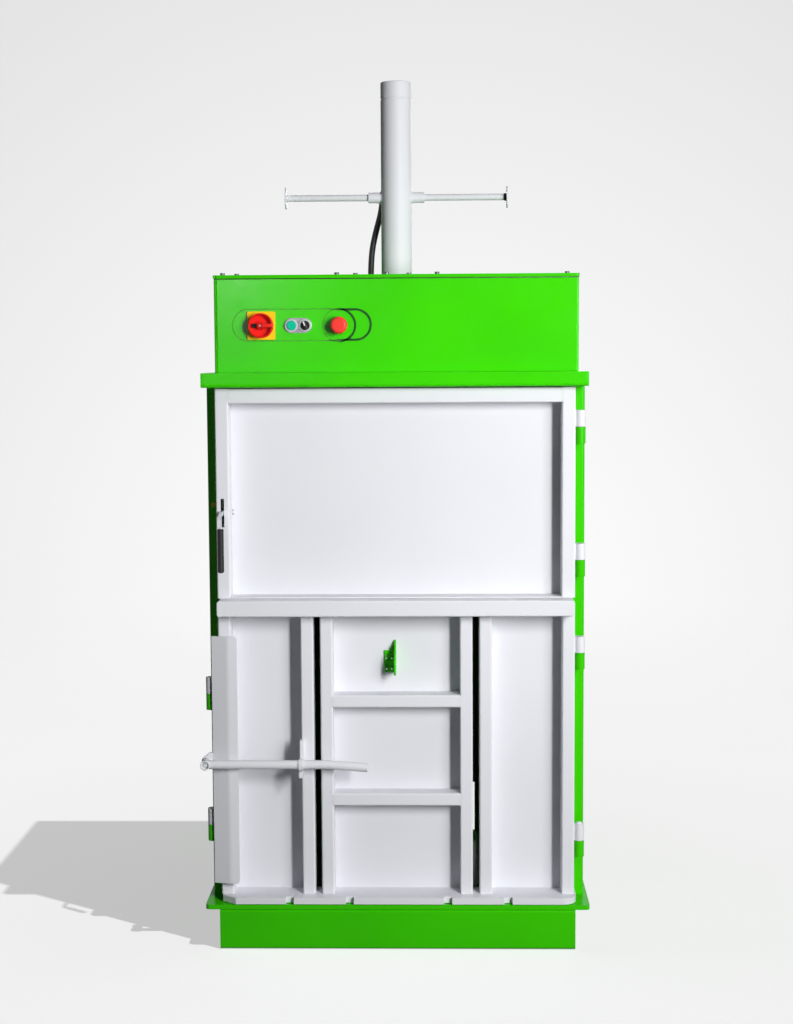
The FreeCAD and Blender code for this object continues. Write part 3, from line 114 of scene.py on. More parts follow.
# each colour is a hex text or another node's output
def mixColours(tree, share, low, high):
    node = addNode(tree, "ShaderNodeMix", {"data_type": "RGBA"}, None, {0: share})
    for socket, colour in ((node.inputs[6], low), (node.inputs[7], high)):
        if isinstance(colour, str):
            socket.default_value = hexColour(colour)
        else:
            tree.links.new(colour, socket)
    return node.outputs[2]


def mixShaders(tree, share, one, two):
    links = {0: share, 1: one.outputs[0], 2: two.outputs[0]}
    return addNode(tree, "ShaderNodeMixShader", None, None, links)


def roundedNormal(tree, radius):
    return addNode(tree, "ShaderNodeBevel", {"samples": bevelSamples}, {"Radius": radius}).outputs["Normal"]


def bump(tree, height, strength, depth, normal=None):
    links = {"Height": height}
    if normal is not None:
        links["Normal"] = normal
    values = {"Strength": strength, "Distance": depth}
    return addNode(tree, "ShaderNodeBump", None, values, links).outputs["Normal"]


def principled(tree, values, links):
    shader = addNode(tree, "ShaderNodeBsdfPrincipled", None, values, links)
    addNode(tree, "ShaderNodeOutputMaterial", None, None, {"Surface": shader.outputs["BSDF"]})


# powder-coated steel: sprayed polyester powder, baked. Even colour, a soft wide gloss, faint orange peel,
# and sheet metal that is never quite flat under it. Its folded edges are mixed towards a paler colour,
# which is a painted highlight, broken up by noise
paintValues = {
    "peel": 0.004,  # real peel is 1 mm or less, drawn as coarse as it needs to show
    "peelDepth": 0.00006, "peelStrength": 0.5,
    "sheetWave": 0.30,  # how far apart the soft dents of a welded sheet lie
    "waveDepth": 0.0012, "waveStrength": 0.6,
    "smudge": 0.07, "smudgeRoughness": 0.6, "middleSpan": (0.3, 0.7), "glossChange": (-0.05, 0.07),
    "edgeRound": 0.0016,  # powder rounds every folded edge
    "edgeTurn": (0.995, 0.80),  # cosine of the turn across an edge, from flat to well round it
    # how much of the edges the painted highlight covers, as set by the noise
    "highlightNoiseSpan": (0.42, 0.72), "highlightShare": (0.0, 0.75), "ior": 1.5,
}


def powderCoat(name, colour, deepColour, edgeHighlightColour, roughness, specular):
    p = paintValues
    material, tree = emptyMaterial(name)
    place = objectPlace(tree)
    wide = noise(tree, place, 1 / p["sheetWave"], detail=1.5)
    smudge = noise(tree, place, 1 / p["smudge"], detail=5.0, roughness=p["smudgeRoughness"])
    peel = noise(tree, place, 1 / p["peel"], detail=1.0)
    body = mixColours(tree, remap(tree, wide, p["middleSpan"]), deepColour, colour)
    rounded = roundedNormal(tree, p["edgeRound"])
    flat = addNode(tree, "ShaderNodeNewGeometry").outputs["Normal"]
    turn = addNode(tree, "ShaderNodeVectorMath", {"operation": "DOT_PRODUCT"}, None, {0: rounded, 1: flat})
    edge = remap(tree, turn.outputs["Value"], p["edgeTurn"])
    highlightBreakup = remap(tree, smudge, p["highlightNoiseSpan"], p["highlightShare"])
    # painted highlight: a paler colour along the edges, wherever the noise lets it through
    tone = mixColours(tree, combine(tree, "MULTIPLY", edge, highlightBreakup), body, edgeHighlightColour)
    gloss = remap(tree, smudge, p["middleSpan"], [roughness + change for change in p["glossChange"]])
    waves = bump(tree, wide, p["waveStrength"], p["waveDepth"], rounded)
    skin = bump(tree, peel, p["peelStrength"], p["peelDepth"], waves)
    values = {"IOR": p["ior"], "Specular IOR Level": specular}
    principled(tree, values, {"Base Color": tone, "Roughness": gloss, "Normal": skin})
    return material


# zinc-plated steel: bright bluish grey with soft blotches from the bath
zincValues = {
    "blotch": 0.012, "toneSpan": (0.35, 0.65), "glossChange": (0.12, -0.04),
    "grain": 0.0018, "grainDepth": 0.00005, "grainStrength": 0.25, "edgeRound": 0.0006,
}


def zincPlate(name, colour, dullColour, roughness):
    z = zincValues
    material, tree = emptyMaterial(name)
    place = objectPlace(tree)
    blotch = noise(tree, place, 1 / z["blotch"], detail=4.0)
    grain = addNode(tree, "ShaderNodeTexVoronoi", None, {"Scale": 1 / z["grain"]}, {"Vector": place})
    tone = mixColours(tree, remap(tree, blotch, z["toneSpan"]), dullColour, colour)
    gloss = remap(tree, blotch, wholeSpan, [roughness + change for change in z["glossChange"]])
    rounded = roundedNormal(tree, z["edgeRound"])
    skin = bump(tree, grain.outputs["Distance"], z["grainStrength"], z["grainDepth"], rounded)
    principled(tree, {"Metallic": 1.0}, {"Base Color": tone, "Roughness": gloss, "Normal": skin})
    return material


# hard chrome on a ground rod: near mirror, with the faint rings that the grinding leaves
chromeValues = {"ringScale": (20, 20, 900), "gloss": (0.08, 0.2), "ringDepth": 0.00002, "ringStrength": 0.1}


def hardChrome(name, colour):
    c = chromeValues
    material, tree = emptyMaterial(name)
    along = addNode(tree, "ShaderNodeMapping", None, {"Scale": c["ringScale"]}, {"Vector": objectPlace(tree)})
    rings = noise(tree, along.outputs["Vector"], 1.0, detail=2.0)
    gloss = remap(tree, rings, wholeSpan, c["gloss"])
    skin = bump(tree, rings, c["ringStrength"], c["ringDepth"])
    principled(tree, {"Metallic": 1.0, "Base Color": hexColour(colour)}, {"Roughness": gloss, "Normal": skin})
    return material


# moulded plastic: colour all the way through, fine spark-eroded grain and a satin gloss
plasticValues = {
    "grain": 0.0012, "grainDepth": 0.00004, "grainStrength": 0.5, "edgeRound": 0.0006,
    "flow": 0.02, "flowSpan": (0.3, 0.7), "flowTone": (0.90, 1.0), "glossChange": (-0.05, 0.08),
    "ior": 1.5, "specular": 0.25,
}


def mouldedPlastic(name, colour, roughness, coarseness=1.0):
    p = plasticValues
    material, tree = emptyMaterial(name)
    place = objectPlace(tree)
    grain = noise(tree, place, 1 / p["grain"], detail=2.0)
    flow = noise(tree, place, 1 / p["flow"], detail=2.0)
    paler = remap(tree, flow, p["flowSpan"], p["flowTone"])
    tone = addNode(tree, "ShaderNodeHueSaturation", None, {"Color": hexColour(colour)}, {"Value": paler})
    gloss = remap(tree, flow, wholeSpan, [roughness + change for change in p["glossChange"]])
    rounded = roundedNormal(tree, p["edgeRound"])
    skin = bump(tree, grain, p["grainStrength"] * coarseness, p["grainDepth"], rounded)
    values = {"IOR": p["ior"], "Specular IOR Level": p["specular"]}
    principled(tree, values, {"Base Color": tone.outputs["Color"], "Roughness": gloss, "Normal": skin})
    return material


# rubber hose cover: matt black with the print of the cloth it was cured in
rubberValues = {
    "cloth": 0.0025, "bandAtOne": 0.32,  # width of the wave texture's band at a scale of 1
    "distortion": 1.5, "clothDepth": 0.00012, "clothStrength": 0.3,
    "dust": 0.03, "dustSpan": (0.45, 0.8), "dustShare": (0.0, 0.5), "glossChange": (-0.06, 0.1),
    "ior": 1.52, "specular": 0.3,
}


def curedRubber(name, colour, dustColour, roughness):
    r = rubberValues
    material, tree = emptyMaterial(name)
    place = objectPlace(tree)
    weave = {"Scale": r["bandAtOne"] / r["cloth"], "Distortion": r["distortion"]}
    cloth = addNode(tree, "ShaderNodeTexWave", {"bands_direction": "DIAGONAL"}, weave, {"Vector": place})
    dust = noise(tree, place, 1 / r["dust"], detail=6.0)
    tone = mixColours(tree, remap(tree, dust, r["dustSpan"], r["dustShare"]), colour, dustColour)
    gloss = remap(tree, dust, wholeSpan, [roughness + change for change in r["glossChange"]])
    skin = bump(tree, cloth.outputs["Fac"], r["clothStrength"], r["clothDepth"])
    values = {"IOR": r["ior"], "Specular IOR Level": r["specular"]}
    principled(tree, values, {"Base Color": tone, "Roughness": gloss, "Normal": skin})
    return material


# grey cast iron: sand-mould skin, dull and pitted
ironValues = {
    "sandScale": 700.0, "sandDepth": 0.0003, "sandStrength": 0.7,
    "stainScale": 40.0, "stainSpan": (0.5, 0.8), "stainShare": (0.0, 0.6), "metallic": 0.6, "roughness": 0.62,
}


def castIron(name, colour, rustColour):
    v = ironValues
    material, tree = emptyMaterial(name)
    place = objectPlace(tree)
    sand = noise(tree, place, v["sandScale"], detail=4.0)
    stain = noise(tree, place, v["stainScale"], detail=5.0)
    tone = mixColours(tree, remap(tree, stain, v["stainSpan"], v["stainShare"]), colour, rustColour)
    skin = bump(tree, sand, v["sandStrength"], v["sandDepth"])
    values = {"Metallic": v["metallic"], "Roughness": v["roughness"]}
    principled(tree, values, {"Base Color": tone, "Normal": skin})
    return material


# screen-printed ink: thin and flat, washed down to a green grey on the left, solid on the right
inkValues = {
    "washedTo": -0.165, "solidFrom": -0.110, "speckScale": 300.0, "speckSpan": (0.35, 0.6),
    "speckShare": (0.9, 1.0), "ior": 1.5, "roughness": 0.5, "specular": 0.2,
}


def printInk(name, colour, washedColour):
    v = inkValues
    material, tree = emptyMaterial(name)
    place = objectPlace(tree)
    across = addNode(tree, "ShaderNodeSeparateXYZ", None, None, {"Vector": place}).outputs["X"]
    speck = noise(tree, place, v["speckScale"], detail=3.0)
    solid = remap(tree, across, (v["washedTo"], v["solidFrom"]))
    broken = remap(tree, speck, v["speckSpan"], v["speckShare"])
    tone = mixColours(tree, combine(tree, "MULTIPLY", solid, broken), washedColour, colour)
    values = {"IOR": v["ior"], "Roughness": v["roughness"], "Specular IOR Level": v["specular"]}
    principled(tree, values, {"Base Color": tone})
    return material


# each powder coat takes its colour, a deeper colour for random tone, a paler colour painted on the edges as a
# highlight, then a roughness and a specular level
finishes = {
    "green_paint": powderCoat("applePowderCoatedSteel", "#3AC900", "#35BF00", "#7ED84C", 0.22, 0.08),
    "light_paint": powderCoat("lightGreyPowderCoatedSteel", "#E1E2E7", "#DDDEE3", "#ECEDF0", 0.42, 0.15),
    "zinc": zincPlate("zincPlatedSteel", "#D5D8DB", "#A9AEB3", 0.34),
    "chrome": hardChrome("hardChromedSteel", "#DADCE0"),
    "dark_paint": powderCoat("graphitePaintedSteel", "#3A3D40", "#34373A", "#777A7D", 0.42, 0.4),
    "cast_iron": castIron("greyCastIron", "#5A5B5C", "#5E4636"),
    "black_rubber": curedRubber("hydraulicHoseRubber", "#151517", "#303030", 0.42),
    "black_plastic": mouldedPlastic("blackNylon", "#1B1B1D", 0.42),
    "yellow_plastic": mouldedPlastic("yellowPolycarbonate", "#FFD21C", 0.34),
    "red_plastic": mouldedPlastic("redPolyamide", "#F0221B", 0.30),
    "teal_plastic": mouldedPlastic("greenPushButtonPlastic", "#00C49B", 0.32),
}
ink = printInk("blackScreenPrint", "#03400A", "#4A8A35")
whiteInlay = mouldedPlastic("whiteInlayPlastic", "#EDEEF0", 0.35)
rubbedPrimer = mouldedPlastic("rubbedPrimerAndRust", "#E8D23C", 0.6, 2.0)

# three pieces look unlike the rest of their slot: dull bolts, a paler red head and a brushed plate
ownFinishes = {
    "cover_bolts": zincPlate("dullZincBolts", "#74787C", "#54585C", 0.42),
    "estop_head": mouldedPlastic("palerStopButtonRed", "#F53E36", 0.32),
    "button_plate": zincPlate("brushedZincPlate", "#A3A3A8", "#88888D", 0.40),
}
for name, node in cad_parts.items():
    slotName = node.data.materials[0].name.split(".")[0]
    node.data.materials[0] = ownFinishes.get(name, finishes[slotName])
print("finishes set on the solids")


smoothBelow = 35  # degrees between faces


def meshPiece(name, builder, material, body):
    mesh = bpy.data.meshes.new(name)
    shape = bmesh.new()
    builder(shape)
    bmesh.ops.recalc_face_normals(shape, faces=shape.faces)
    shape.to_mesh(mesh)
    shape.free()
    piece = bpy.data.objects.new(name, mesh)
    bpy.context.scene.collection.objects.link(piece)
    mesh.materials.append(material)
    mesh.shade_smooth()
    mesh.set_sharp_from_angle(angle=math.radians(smoothBelow))
    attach(piece, body)
    return piece


# for a turned form that faces one way: its two cross axes and its own axis
axisSets = {
    "front": (Vector((1, 0, 0)), Vector((0, 0, 1)), Vector((0, -1, 0))),
    "back": (Vector((1, 0, 0)), Vector((0, 0, 1)), Vector((0, 1, 0))),
    "up": (Vector((1, 0, 0)), Vector((0, 1, 0)), Vector((0, 0, 1))),
    "right": (Vector((0, 1, 0)), Vector((0, 0, 1)), Vector((1, 0, 0))),
}


# turned form: (radius, distance) pairs in mm swung round an axis through place
def lathe(shape, profile, place, along, segments, ring=False):
    across, over, out = axisSets[along]
    middle = Vector(place)
    rows = []
    for radius, distance in profile:
        count = segments if radius > 0 else 1
        turns = [2 * math.pi * i / segments for i in range(count)]
        row = [middle + out * distance + (across * math.cos(t) + over * math.sin(t)) * radius for t in turns]
        rows.append([shape.verts.new(point / 1000) for point in row])
    pairs = list(zip(rows, rows[1:])) + ([(rows[-1], rows[0])] if ring else [])
    for one, two in pairs:
        for i in range(segments):
            j = i + 1
            corners = [one[i % len(one)], one[j % len(one)], two[j % len(two)], two[i % len(two)]]
            shape.faces.new(list(dict.fromkeys(corners)))


# flat plate or bar: an outline of points in mm, pushed along a vector
def extrude(shape, outline, along, rounding=0.0, segments=2):
    face = shape.faces.new([shape.verts.new(Vector(p) / 1000) for p in outline])
    made = bmesh.ops.extrude_face_region(shape, geom=[face])["geom"]
    moved = [v for v in made if isinstance(v, bmesh.types.BMVert)]
    bmesh.ops.translate(shape, verts=moved, vec=Vector(along) / 1000)
    if rounding:
        body = set(face.verts) | set(moved)
        edges = [e for e in shape.edges if e.verts[0] in body and e.verts[1] in body]
        bmesh.ops.bevel(
            shape, geom=edges, offset=rounding / 1000, segments=segments, profile=0.5, affect="EDGES"
        )


def block(shape, low, high, rounding=0.0):
    corners = ((low[0], low[1]), (high[0], low[1]), (high[0], high[1]), (low[0], high[1]))
    extrude(shape, [(x, y, low[2]) for x, y in corners], (0, 0, high[2] - low[2]), rounding)


# weld bead: a half-round run of metal with the ripples of the weld pool
beadSizes = {
    "radius": 2.6, "fine": 2.0, "ripple": 0.16, "pitch": 5.0, "step": 1.6, "sides": 8, "endShare": 0.35,
}


def bead(shape, path, closed=False, radius=beadSizes["radius"]):
    points = [Vector(p) for p in path]
    legs = list(zip(points, points[1:] + points[:1])) if closed else list(zip(points, points[1:]))
    line = []
    for start, end in legs:
        count = max(1, round((end - start).length / beadSizes["step"]))
        line += [start.lerp(end, i / count) for i in range(count)]
    if not closed:
        line.append(points[-1])
    turns = [2 * math.pi * k / beadSizes["sides"] for k in range(beadSizes["sides"])]
    rows, run, side = [], 0.0, None
    for i, point in enumerate(line):
        ahead = line[(i + 1) % len(line)] if closed or i + 1 < len(line) else point
        behind = line[i - 1] if closed or i else point
        tangent = (ahead - behind).normalized()
        run += (point - behind).length
        side = tangent.orthogonal() if side is None else side - tangent * side.dot(tangent)
        side = side.normalized()
        over = tangent.cross(side)
        swell = radius * (1 + beadSizes["ripple"] * math.sin(2 * math.pi * run / beadSizes["pitch"]))
        if not closed and i in (0, len(line) - 1):
            swell *= beadSizes["endShare"]
        row = [point + (side * math.cos(t) + over * math.sin(t)) * swell for t in turns]
        rows.append([shape.verts.new(place / 1000) for place in row])
    for one, two in list(zip(rows, rows[1:])) + ([(rows[-1], rows[0])] if closed else []):
        for k in range(beadSizes["sides"]):
            j = (k + 1) % beadSizes["sides"]
            shape.faces.new([one[k], one[j], two[j], two[k]])
    if not closed:
        shape.faces.new(rows[0])
        shape.faces.new(rows[-1])


# hydraulic hose, from the barrel's port down through the cover
hoseRoute = {
    "points": [  # mm
        (-36.5, 31, 1785), (-39.3, 31, 1762), (-53, 31, 1715),
        (-63, 31, 1668), (-66, 31, 1610), (-66, 31, 1565),
    ],
    "diameter": 15, "length": 223, "bevelResolution": 8, "curveResolution": 24,
}


def makeHose():
    curve = bpy.data.curves.new("hydraulicHose", "CURVE")
    curve.dimensions = "3D"
    curve.bevel_depth = hoseRoute["diameter"] / 2000
    curve.bevel_resolution = hoseRoute["bevelResolution"]
    curve.resolution_u = hoseRoute["curveResolution"]
    curve.use_fill_caps = True
    line = curve.splines.new("NURBS")
    line.points.add(len(hoseRoute["points"]) - 1)
    for point, (x, y, z) in zip(line.points, hoseRoute["points"]):
        point.co = (x / 1000, y / 1000, z / 1000, 1)
    line.order_u = 3
    line.use_endpoint_u = True
    hose = bpy.data.objects.new("hydraulicHose", curve)
    bpy.context.scene.collection.objects.link(hose)
    curve.materials.append(finishes["black_rubber"])
    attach(hose, "frame")
    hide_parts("hose")


makeHose()
print("hose laid")

# printed outline round the controls: washed thin on the left, still thick and dark on the right
printSizes = {
    "face": -285.0, "rise": 0.3, "thin": 1.7, "thick": 5.2,
    "left": -378.6, "right": -52.5, "low": 1444.0, "high": 1519.6,
    "thickFrom": -172, "thickTo": -112, "steps": 28,
    "ringAt": (-128.5, 1480.5), "ringRadius": 39.6,
    "ringThickFrom": -140, "ringThickTo": -104, "ringSteps": 72,
}


# each row of the outline holds a point and the way out from there
def printedBand(shape, outline, thickFrom, thickTo):
    back, front = printSizes["face"], printSizes["face"] - printSizes["rise"]
    rows = []
    for x, z, outX, outZ in outline:
        share = min(1, max(0, (x - thickFrom) / (thickTo - thickFrom)))
        eased = share * share * (3 - 2 * share)
        width = printSizes["thin"] + (printSizes["thick"] - printSizes["thin"]) * eased
        inX, inZ = x - outX * width, z - outZ * width
        corners = ((x, back, z), (x, front, z), (inX, front, inZ), (inX, back, inZ))
        rows.append([shape.verts.new(Vector(p) / 1000) for p in corners])
    for one, two in zip(rows, rows[1:] + rows[:1]):
        for k in range(4):
            shape.faces.new([one[k], one[(k + 1) % 4], two[(k + 1) % 4], two[k]])


def roundedBand(shape):
    half = (printSizes["high"] - printSizes["low"]) / 2
    middle = (printSizes["high"] + printSizes["low"]) / 2
    ends = (printSizes["left"] + half, printSizes["right"] - half)
    outline = []
    for x, start in ((ends[1], math.pi / 2), (ends[0], -math.pi / 2)):
        for i in range(printSizes["steps"] + 1):
            turn = start - math.pi * i / printSizes["steps"]
            outX, outZ = math.cos(turn), math.sin(turn)
            outline.append((x + half * outX, middle + half * outZ, outX, outZ))
        side = -1 if start > 0 else 1
        for i in range(1, printSizes["steps"]):
            along = x + side * (ends[1] - ends[0]) * i / printSizes["steps"]
            outline.append((along, middle + side * half, 0, side))
    printedBand(shape, outline, printSizes["thickFrom"], printSizes["thickTo"])


def ringBand(shape):
    (x, z), radius = printSizes["ringAt"], printSizes["ringRadius"]
    outline = []
    for i in range(printSizes["ringSteps"]):
        turn = 2 * math.pi * i / printSizes["ringSteps"]
        outX, outZ = math.cos(turn), math.sin(turn)
        outline.append((x + radius * outX, z + radius * outZ, outX, outZ))
    printedBand(shape, outline, printSizes["ringThickFrom"], printSizes["ringThickTo"])


meshPiece("printedOutline", roundedBand, ink, "frame")
meshPiece("printedStopRing", ringBand, ink, "frame")

# main switch knob: a rim round a well, a boss with a screw, a handle to the right
# and a padlock slide to the left
knobSizes = {
    "at": (-310.5, -289.3, 1480.5), "rim": 29.0, "rimFront": 21.0, "well": 25.2, "wellFloor": 4.6,
    "boss": 8.6, "bossFront": 23.0, "sides": 64, "screw": 2.7, "screwSides": 24,
    "barFrom": 2.0, "barTo": 27.4, "barRoot": 5.6, "barTip": 4.0,
    "barFront": 28.0, "barSunk": 1.5, "barRound": 1.4,
    "slideFrom": -22.0, "slideTo": -11.5, "slideHalf": 5.0,
    "slideFront": 9.0, "slideBack": 3.0, "slideRound": 1.0,
}


# the small numbers in this and the next profiles are the roundings of the corners, in mm
def knobBody(shape):
    k = knobSizes
    rim, rimFront, well, floor = k["rim"], k["rimFront"], k["well"], k["wellFloor"]
    boss, bossFront = k["boss"], k["bossFront"]
    profile = [
        (0, 0), (rim - 0.8, 0), (rim, 0.8), (rim, rimFront - 1.2), (rim - 0.5, rimFront - 0.3),
        (rim - 1.6, rimFront), (well + 1.2, rimFront), (well + 0.5, rimFront - 0.5),
        (well - 0.3, floor + 1.0), (well - 1.2, floor), (boss + 1.4, floor), (boss, floor + 1.2),
        (boss - 0.6, bossFront - 1.2), (boss - 1.8, bossFront), (0, bossFront),
    ]
    lathe(shape, profile, k["at"], "front", k["sides"])
    x, y, z = k["at"]
    back, root, tip = y - floor + k["barSunk"], x + k["barFrom"], x + k["barTo"]
    outline = [
        (root, back, z - k["barRoot"]), (tip, back, z - k["barTip"]),
        (tip, back, z + k["barTip"]), (root, back, z + k["barRoot"]),
    ]
    extrude(shape, outline, (0, y - k["barFront"] - back, 0), k["barRound"], segments=3)


def knobSlide(shape):
    k = knobSizes
    x, y, z = k["at"]
    low = (x + k["slideFrom"], y - k["slideFront"], z - k["slideHalf"])
    block(shape, low, (x + k["slideTo"], y - k["slideBack"], z + k["slideHalf"]), k["slideRound"])


def knobScrew(shape):
    x, y, z = knobSizes["at"]
    head = knobSizes["screw"]
    profile = [(0, -1), (head, -1), (head, 0.8), (head - 0.9, 1.7), (1.0, 1.9), (0.8, 0.9), (0, 0.9)]
    lathe(shape, profile, (x, y - knobSizes["bossFront"], z), "front", knobSizes["screwSides"])


switchKnob = meshPiece("mainSwitchKnob", knobBody, finishes["red_plastic"], "isolator")
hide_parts("isolator_knob")
meshPiece("mainSwitchPadlockSlide", knobSlide, finishes["black_plastic"], "isolator")
meshPiece("mainSwitchKnobScrew", knobScrew, finishes["zinc"], "isolator")

# selector: a round knob with a raised bar, turned 20 degrees to the left, and a white line along the bar
selectorSizes = {
    "at": (-208.0, -288.0, 1480.5), "radius": 11.0, "front": 8.0, "sides": 48, "tilt": 20,
    "barBack": 5.0, "barFront": 19.0, "barHalf": 3.6, "barLength": 10.4, "barCorner": 2, "barRound": 0.9,
    "lineHalf": 1.5, "lineInset": 1, "lineSunk": 0.6, "lineRise": 0.4, "lineRound": 0.2,
}


def tilted(points, along):
    x, y, z = selectorSizes["at"]
    turn = math.radians(selectorSizes["tilt"])
    across, over = math.cos(turn), math.sin(turn)
    return [(x + px * across - pz * over, y - along, z + px * over + pz * across) for px, pz in points]


def selectorBody(shape):
    s = selectorSizes
    radius, front = s["radius"], s["front"]
    profile = [
        (0, 0.2), (radius - 0.5, 0.2), (radius, 0.7), (radius, front - 1.4), (radius - 1.4, front),
        (0, front),
    ]
    lathe(shape, profile, s["at"], "front", s["sides"])
    half, reach, corner = s["barHalf"], s["barLength"], s["barCorner"]
    outline = [
        (-half, -reach + corner), (-half + corner, -reach), (half - corner, -reach), (half, -reach + corner),
        (half, reach - corner), (half - corner, reach), (-half + corner, reach), (-half, reach - corner),
    ]
    extrude(shape, tilted(outline, s["barBack"]), (0, s["barBack"] - s["barFront"], 0), s["barRound"])


def selectorLine(shape):
    s = selectorSizes
    half, inset, top = s["lineHalf"], s["lineInset"], s["barLength"] - s["lineInset"]
    outline = [(-half, -inset), (half, -inset), (half, top), (-half, top)]
    thickness = s["lineSunk"] + s["lineRise"]
    sunk = tilted(outline, s["barFront"] - s["lineSunk"])
    extrude(shape, sunk, (0, -thickness, 0), s["lineRound"], segments=1)


selectorKnob = meshPiece("selectorKnob", selectorBody, finishes["black_plastic"], "selector")
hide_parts("selector_knob")
meshPiece("selectorPointer", selectorLine, whiteInlay, "selector")

# rubber grommet where the hose goes through the cover
grommetSizes = {
    "at": (-66.0, 31.0, 1598.0), "inside": 7.7, "outside": 12.5, "below": -3, "height": 3.4, "lip": 2,
    "sides": 40,
}


def grommet(shape):
    inside, outside, height = grommetSizes["inside"], grommetSizes["outside"], grommetSizes["height"]
    below, neck = grommetSizes["below"], outside - grommetSizes["lip"]
    profile = [
        (inside, below), (neck, below), (neck, 0), (outside, 0.4), (outside - 0.6, height - 0.8),
        (neck, height), (inside + 0.8, height), (inside, height - 0.8),
    ]
    lathe(shape, profile, grommetSizes["at"], "up", grommetSizes["sides"], ring=True)


# dark clamp ring at the right arm's end
armRingSizes = {"at": (266.6, 0.0, 1798.0), "bore": 7.9, "radius": 9.4, "length": 5.2, "sides": 40}


def armRing(shape):
    bore, radius, length = armRingSizes["bore"], armRingSizes["radius"], armRingSizes["length"]
    profile = [
        (bore, 0), (radius - 0.5, 0), (radius, 0.5), (radius, length - 0.5), (radius - 0.5, length),
        (bore, length),
    ]
    lathe(shape, profile, armRingSizes["at"], "right", armRingSizes["sides"], ring=True)


meshPiece("hoseGrommet", grommet, finishes["black_rubber"], "frame")
meshPiece("armClampRing", armRing, finishes["black_plastic"], "frame")

# ground flush joints: the rails' round corners run a little into the stiles, so that no groove stays
flushSizes = {
    "corner": 4.0, "into": 4.6, "front": -297.0, "depth": 8.0, "arcSteps": 6,
    "centreRails": ((340.0, 370.0), (577.5, 607.5)), "centreEnd": 150.2,
    "topRail": (1299.0, 1334.0), "topEnd": 389.7,
}


def flushEnd(shape, x, side, low, high):
    f = flushSizes
    middleY, back, outline = f["front"] + f["corner"], f["front"] + f["depth"], []
    for z, start in ((high - f["corner"], 0), (low + f["corner"], math.pi / 2)):
        for i in range(f["arcSteps"] + 1):
            turn = start + math.pi / 2 * i / f["arcSteps"]
            outline.append((x, middleY - f["corner"] * math.sin(turn), z + f["corner"] * math.cos(turn)))
    extrude(shape, [(x, back, high)] + outline + [(x, back, low)], (side * f["into"], 0, 0))


def railEnds(shape):
    for low, high in flushSizes["centreRails"]:
        for side in (-1, 1):
            flushEnd(shape, side * flushSizes["centreEnd"], side, low, high)


def topRailEnds(shape):
    for side in (-1, 1):
        flushEnd(shape, side * flushSizes["topEnd"], side, *flushSizes["topRail"])


meshPiece("centreRailWelds", railEnds, finishes["light_paint"], "lower_door")
meshPiece("topRailWelds", topRailEnds, finishes["light_paint"], "upper_door")

# the shell's folded left corner and the cover's turned-down left edge, which the sheet's bend leaves proud
foldSizes = {
    "shellX": -417.5, "radius": 3.6, "arcSteps": 6, "front": -285.0, "frontGap": 0.05, "back": 310.0,
    "low": 1371.0, "high": 1590.0, "lap": 1,
    "coverX": -419.0, "coverTop": 1598.0, "coverFront": -286.5, "coverRound": 0.8,
}

# a dark rubber strip between the housing and its cover: painted shade that stands for the shadow line under
# the cover's rim
shadeStripSizes = {
    "left": -419.5, "right": 429.0, "front": -285.6, "back": -282.0, "low": 1587.8, "high": 1589.9,
    "round": 0.3,
}


def housingFold(shape):
    f = foldSizes
    inside, outside = f["shellX"] + f["lap"], f["shellX"] - f["radius"]
    outline = [(inside, f["front"] + f["frontGap"], f["low"])]
    for i in range(f["arcSteps"] + 1):
        turn = math.pi / 2 * i / f["arcSteps"]
        x, y = f["shellX"] - f["radius"] * math.sin(turn), f["front"] + f["radius"] * (1 - math.cos(turn))
        outline.append((x, y, f["low"]))
    outline += [(outside, f["back"], f["low"]), (inside, f["back"], f["low"])]
    extrude(shape, outline, (0, 0, f["high"] - f["low"]))
    coverLow = (f["coverX"] - f["radius"], f["coverFront"], f["high"])
    block(shape, coverLow, (f["coverX"] + f["lap"], f["back"] + f["lap"], f["coverTop"]), f["coverRound"])


def coverShadeStrip(shape):
    s = shadeStripSizes
    block(shape, (s["left"], s["front"], s["low"]), (s["right"], s["back"], s["high"]), s["round"])


# painted shade: the black strip darkens the line under the cover's rim
meshPiece("coverShadeStrip", coverShadeStrip, finishes["black_rubber"], "frame")
meshPiece("housingFold", housingFold, finishes["green_paint"], "frame")

# strap knife: a pointed flange stands out from its base plate, which four screws hold
knifeSizes = {
    "left": -5.6, "right": -1.0, "back": -249.8, "front": -304.0,
    "low": 655.0, "shoulder": 690.0, "high": 733.0, "corner": 5, "round": 0.5,
    "screwsX": (-24.0, -11.5), "screwsZ": (662.5, 688.0), "screwsY": -250.0, "screw": 2.4, "screwSides": 20,
}


def knifeFlange(shape):
    k = knifeSizes
    left, front, corner = k["left"], k["front"], k["corner"]
    outline = [
        (left, k["back"], k["low"]), (left, front + corner, k["low"]), (left, front, k["low"] + corner),
        (left, front, k["shoulder"]), (left, k["back"], k["high"]),
    ]
    extrude(shape, outline, (k["right"] - left, 0, 0), k["round"], segments=1)


def knifeScrews(shape):
    head = knifeSizes["screw"]
    profile = [(0, -3), (head, -3), (head, 0.4), (head - 0.8, 1.5), (0, 1.9)]
    for x in knifeSizes["screwsX"]:
        for z in knifeSizes["screwsZ"]:
            lathe(shape, profile, (x, knifeSizes["screwsY"], z), "front", knifeSizes["screwSides"])


meshPiece("knifeFlange", knifeFlange, finishes["green_paint"], "lower_door")
meshPiece("knifeScrews", knifeScrews, finishes["zinc"], "lower_door")

# the latch's two rivets in the sheet
rivetSizes = {
    "at": ((-387.2, -245.0, 1045.0), (-387.2, -245.0, 1036.0)),
    "radius": 2.8, "crown": 2.0, "rise": 1.6, "sides": 20,
}


